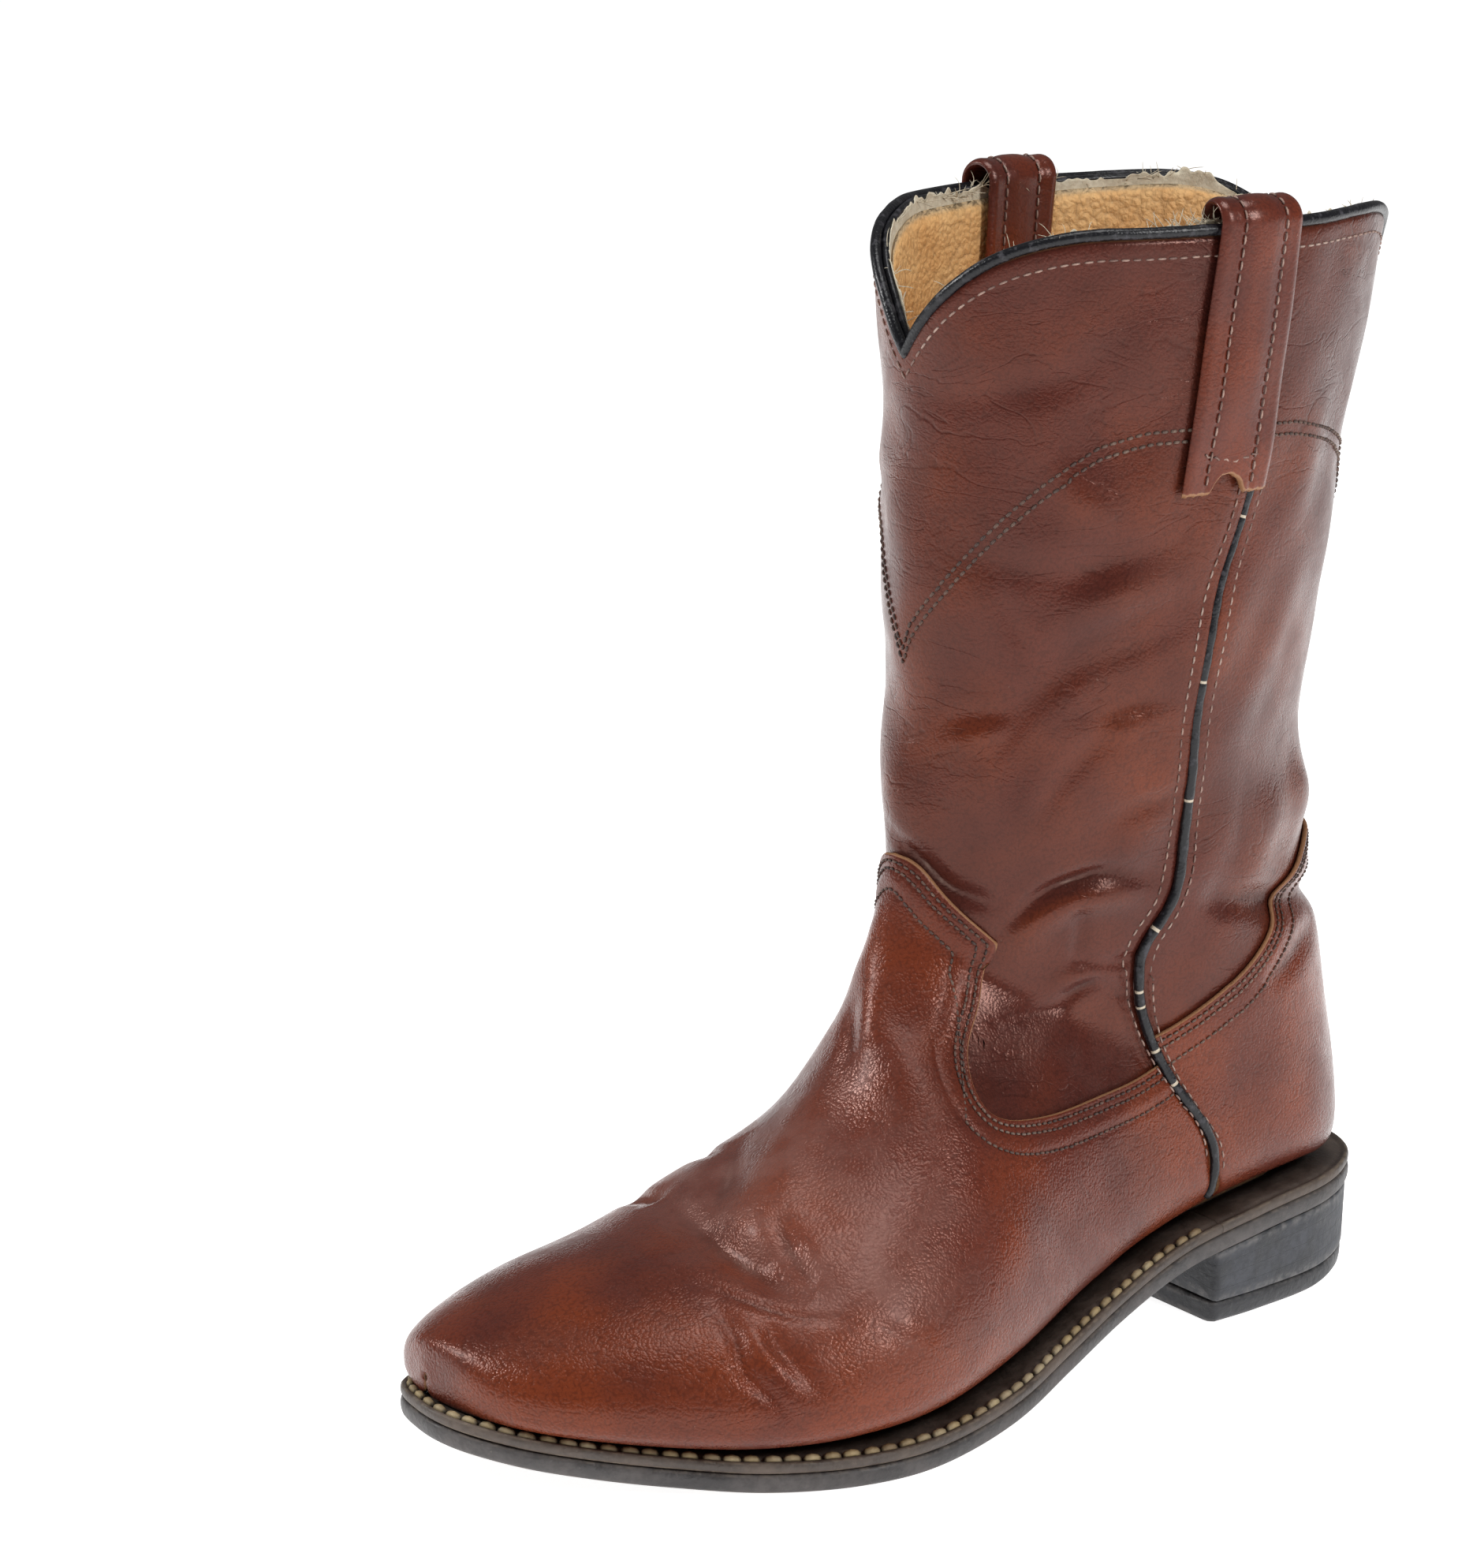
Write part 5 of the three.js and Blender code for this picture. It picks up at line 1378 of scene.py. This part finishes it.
def sole_finish(name, dark, worn_tone, dust_tone, level, layers=0.0):
    """Black-inked edge leather: scuffed grey, dusty, its worn corners browner; layers draws the
    heel's lifts as faint dark lines."""
    made, tree, shader = finish_of(name, 0.6)
    rubbed = mask_of(tree, patches, Size=75.0, Level=level, Softness=0.16, Detail=6.0)
    fine = mask_of(tree, patches, Size=420.0, Level=0.52, Softness=0.18, Detail=5.0)
    marks = mask_of(tree, scratches, Size=75.0, Level=0.66, Turn=(0.0, 0.1, 0.3))
    tint = laid(tree, dark, worn_tone, rubbed, 0.75)
    tint = laid(tree, tint, scaled(dark, 0.5), fine, 0.35)
    tint = laid(tree, tint, dust_tone, marks, 0.5)
    corner = maths(tree, "MULTIPLY", stepped(tree, marked(tree, "edge"), 0.3, 1.0), fine)
    tint = laid(tree, tint, dust_tone, corner, 0.6)
    heights = [(fine, 0.5, 0.0003), (maths(tree, "MULTIPLY", marks, -1.0), 0.4, 0.0003)]
    if layers:
        lift = maths(tree, "FRACT", maths(tree, "MULTIPLY", marked(tree, "level"), layers))
        line = stepped(tree, maths(tree, "ABSOLUTE", maths(tree, "SUBTRACT", lift, 0.5)), 0.47, 0.5)
        tint = laid(tree, tint, scaled(dark, 0.3), line, 0.5)
        heights.append((maths(tree, "MULTIPLY", line, -1.0), 0.4, 0.0003))
    tree.links.new(tint, shader.inputs["Base Color"])
    rough = maths(tree, "ADD", 0.45, maths(tree, "MULTIPLY", rubbed, 0.25))
    tree.links.new(rough, shader.inputs["Roughness"])
    bumped(tree, shader, *heights)
    return made


sole_leather = sole_finish(
    "sole_leather", (0.040, 0.036, 0.036), (0.115, 0.102, 0.098), (0.20, 0.165, 0.14), 0.5)
heel_stack = sole_finish(
    "heel_stack", (0.016, 0.017, 0.021), (0.080, 0.084, 0.098), (0.20, 0.19, 0.185), 0.50, layers=4.0)
heel_rubber = sole_finish(
    "heel_rubber", (0.017, 0.017, 0.020), (0.055, 0.056, 0.062), (0.13, 0.12, 0.115), 0.55)

forth = np.arange(heel_index + 1)
back_again = (-forth * (plan_count - heel_index) / heel_index)
ring = np.vstack([plan, plan[:1]])
ring_out = np.vstack([plan_out, plan_out[:1]])


def plan_at(index):
    """Places and normals of the outline at fractional indices."""
    index, whole = np.asarray(index) % plan_count, np.arange(plan_count + 1)
    return read_at(index, whole, ring), read_at(index, whole, ring_out)


rounded_edge = np.array([(-1.6, 0), (-0.8, 0.05), (-0.3, 0.16), (-0.05, 0.32), (0.05, 0.5), (0.05, 0.68),
                         (-0.1, 0.84), (-0.45, 0.96), (-0.9, 1.0)])
ribs_out, ribs_in = plan_at(forth), plan_at(back_again)
outsole = ribbed("outsole", ribs_out, ribs_in, rounded_edge, lambda y: bed(y) - 8.0, lambda y: bed(y) - 3.2,
                 sole_leather)
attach(outsole, "root")
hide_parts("outsole")


def heel_ribs(inset):
    """Edge places from the breast to the heel's back, drawn in by inset."""
    (p, pn), (q, qn) = (plan_at(np.linspace(start, heel_index, 90)) for start in (outer_breast, inner_breast))
    return (p - pn * inset, pn), (q - qn * inset, qn)


stack_edge = np.array([(-1.0, 0), (-0.55, 0.02), (-0.42, 0.06), (-0.35, 0.2), (-0.25, 0.4), (-0.15, 0.6),
                       (-0.05, 0.8), (0.0, 0.94), (-0.15, 0.985), (-0.6, 1.0)])
heel_block = ribbed("heel_block", *heel_ribs(0.7), stack_edge, lambda y: 6.2 + 0 * y, lambda y: bed(y) - 8.1,
                    heel_stack, blunt=1.2)
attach(heel_block, "root")
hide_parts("heel_block")
lift_edge = np.array([
    (-2.4, 0), (-1.2, 0.06), (-0.6, 0.22), (-0.3, 0.45), (-0.2, 0.7), (-0.3, 0.93), (-0.7, 1.0)])
top_lift = ribbed("heel_top_lift", *heel_ribs(1.2), lift_edge,
                  lambda y: 0 * y, lambda y: 5.95 + 0 * y, heel_rubber, blunt=1.2)
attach(top_lift, "root")
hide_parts("heel_top_lift")

# The welt and the rand: strips on the outsole, their outer edge flush with it.
welt_leather = sole_finish(
    "welt_leather", (0.055, 0.040, 0.032), (0.13, 0.098, 0.078), (0.25, 0.195, 0.14), 0.5)
strip = np.array([
    (-13.0, -2.9), (-0.9, -2.9), (-0.35, -2.6), (-0.05, -2.0), (0.0, -1.2), (-0.12, -0.55), (-0.45, -0.15),
    (-0.9, 0.0), (-1.5, -0.05), (-2.0, -0.35), (-2.6, -0.4), (-3.1, -0.1), (-3.8, 0.05), (-13.0, 0.05)])
strip_places = 520
joint_gap = 0.12
for name, first_at, last_at in (("welt", inner_breast - plan_count + joint_gap, outer_breast - joint_gap),
                                ("heel_rand", outer_breast, inner_breast)):
    p, out = plan_at(np.linspace(first_at, last_at, strip_places))
    flat = p[:, None] + out[:, None] * strip[None, :, :1]
    z = bed(flat[..., 1]) + strip[None, :, 1]
    loops = np.concatenate([flat, z[..., None]], -1)
    ends = [loops[[k]].mean(1, keepdims=True) + 0 * loops[[k]] for k in (0, -1)]
    loops = np.concatenate([ends[0], loops, ends[1]])
    edge = np.exp(-((strip[:, 0] + 0.6) / 0.5) ** 2)
    piece = surface_mesh(name, row_frame(loops.reshape(-1, 3)), grid_faces(len(loops), len(strip), True),
                         welt_leather, edge=np.tile(edge, len(loops)),
                         level=np.zeros(len(loops) * len(strip)))
    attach(piece, "root")
    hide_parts(name)

cord = thread_finish("welt_cord", (0.40, 0.30, 0.15), (0.20, 0.135, 0.07), (0.46, 0.38, 0.24))
cord_inset = 2.35
p, out = plan_at(np.linspace(inner_breast - plan_count + 2, outer_breast - 2, 1400))
cord_line = p - out * cord_inset
cord_up = np.tile([0, 0, 1.0], (len(cord_line), 1))
cord_points = np.column_stack([cord_line, bed(cord_line[:, 1]) + 0.15])
thread_piece("welt_stitches", [(cord_points, cord_up)], cord, 4.9, 4.5, 1.0, rise=0.55,
             sink=0.35)


# ---------------------------------------------------------------------------------------------
# Stiffeners and what else lies inside: a leather board toe box and counter stiffener under the
# leather; and the insole, sock, cork, spring-steel shank and brass nails, where the frame has them.
def plain_finish(name, one, other, size, roughness, metallic=0.0):
    """Two tones in fine patches with a little relief."""
    made, tree, shader = finish_of(name, roughness, metallic)
    mask = mask_of(tree, patches, Size=size, Level=0.5, Softness=0.25, Detail=6.0)
    tree.links.new(mixed(tree, mask, one, other), shader.inputs["Base Color"])
    bumped(tree, shader, (mask, 0.4, 0.0002))
    return made


insole_board = plain_finish("insole_board", (0.34, 0.21, 0.11), (0.24, 0.14, 0.07), 320.0, 0.8)
cork = plain_finish("cork", (0.30, 0.17, 0.08), (0.13, 0.07, 0.035), 500.0, 0.95)
spring_steel = plain_finish("spring_steel", (0.22, 0.22, 0.24), (0.12, 0.12, 0.14), 140.0, 0.38, 1.0)
nail_brass = plain_finish("nail_brass", (0.62, 0.42, 0.15), (0.40, 0.25, 0.09), 900.0, 0.35, 1.0)

board_turn = np.linspace(-2.6, 2.6, 81)[None] + np.zeros((44, 1))
board_v = np.linspace(-0.6, 4.7, 44)[:, None] + np.zeros((1, 81))
cup_turn, cup_v = counter_turn[2:-16], counter_v[2:-16]
for name, turn, v in (("toe_box", board_turn, board_v), ("counter_stiffener", cup_turn, cup_v)):
    piece = leather_sheet(name, wrapped(turn), v, frame_round(turn, v), insole_board, 1.8, 1.1, rim=1.5)
    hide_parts(name)

# Pieces kept from the frame, given their materials.
carried = {"cork_filler": cork, "shank": spring_steel, "insole": insole_board, "heel_sock": lining_leather}
carried.update({f"heel_nail_{k}": nail_brass for k in range(1, 6)})
for name, finish in carried.items():
    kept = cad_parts[name]
    for k in range(len(kept.material_slots)):
        kept.material_slots[k].material = finish
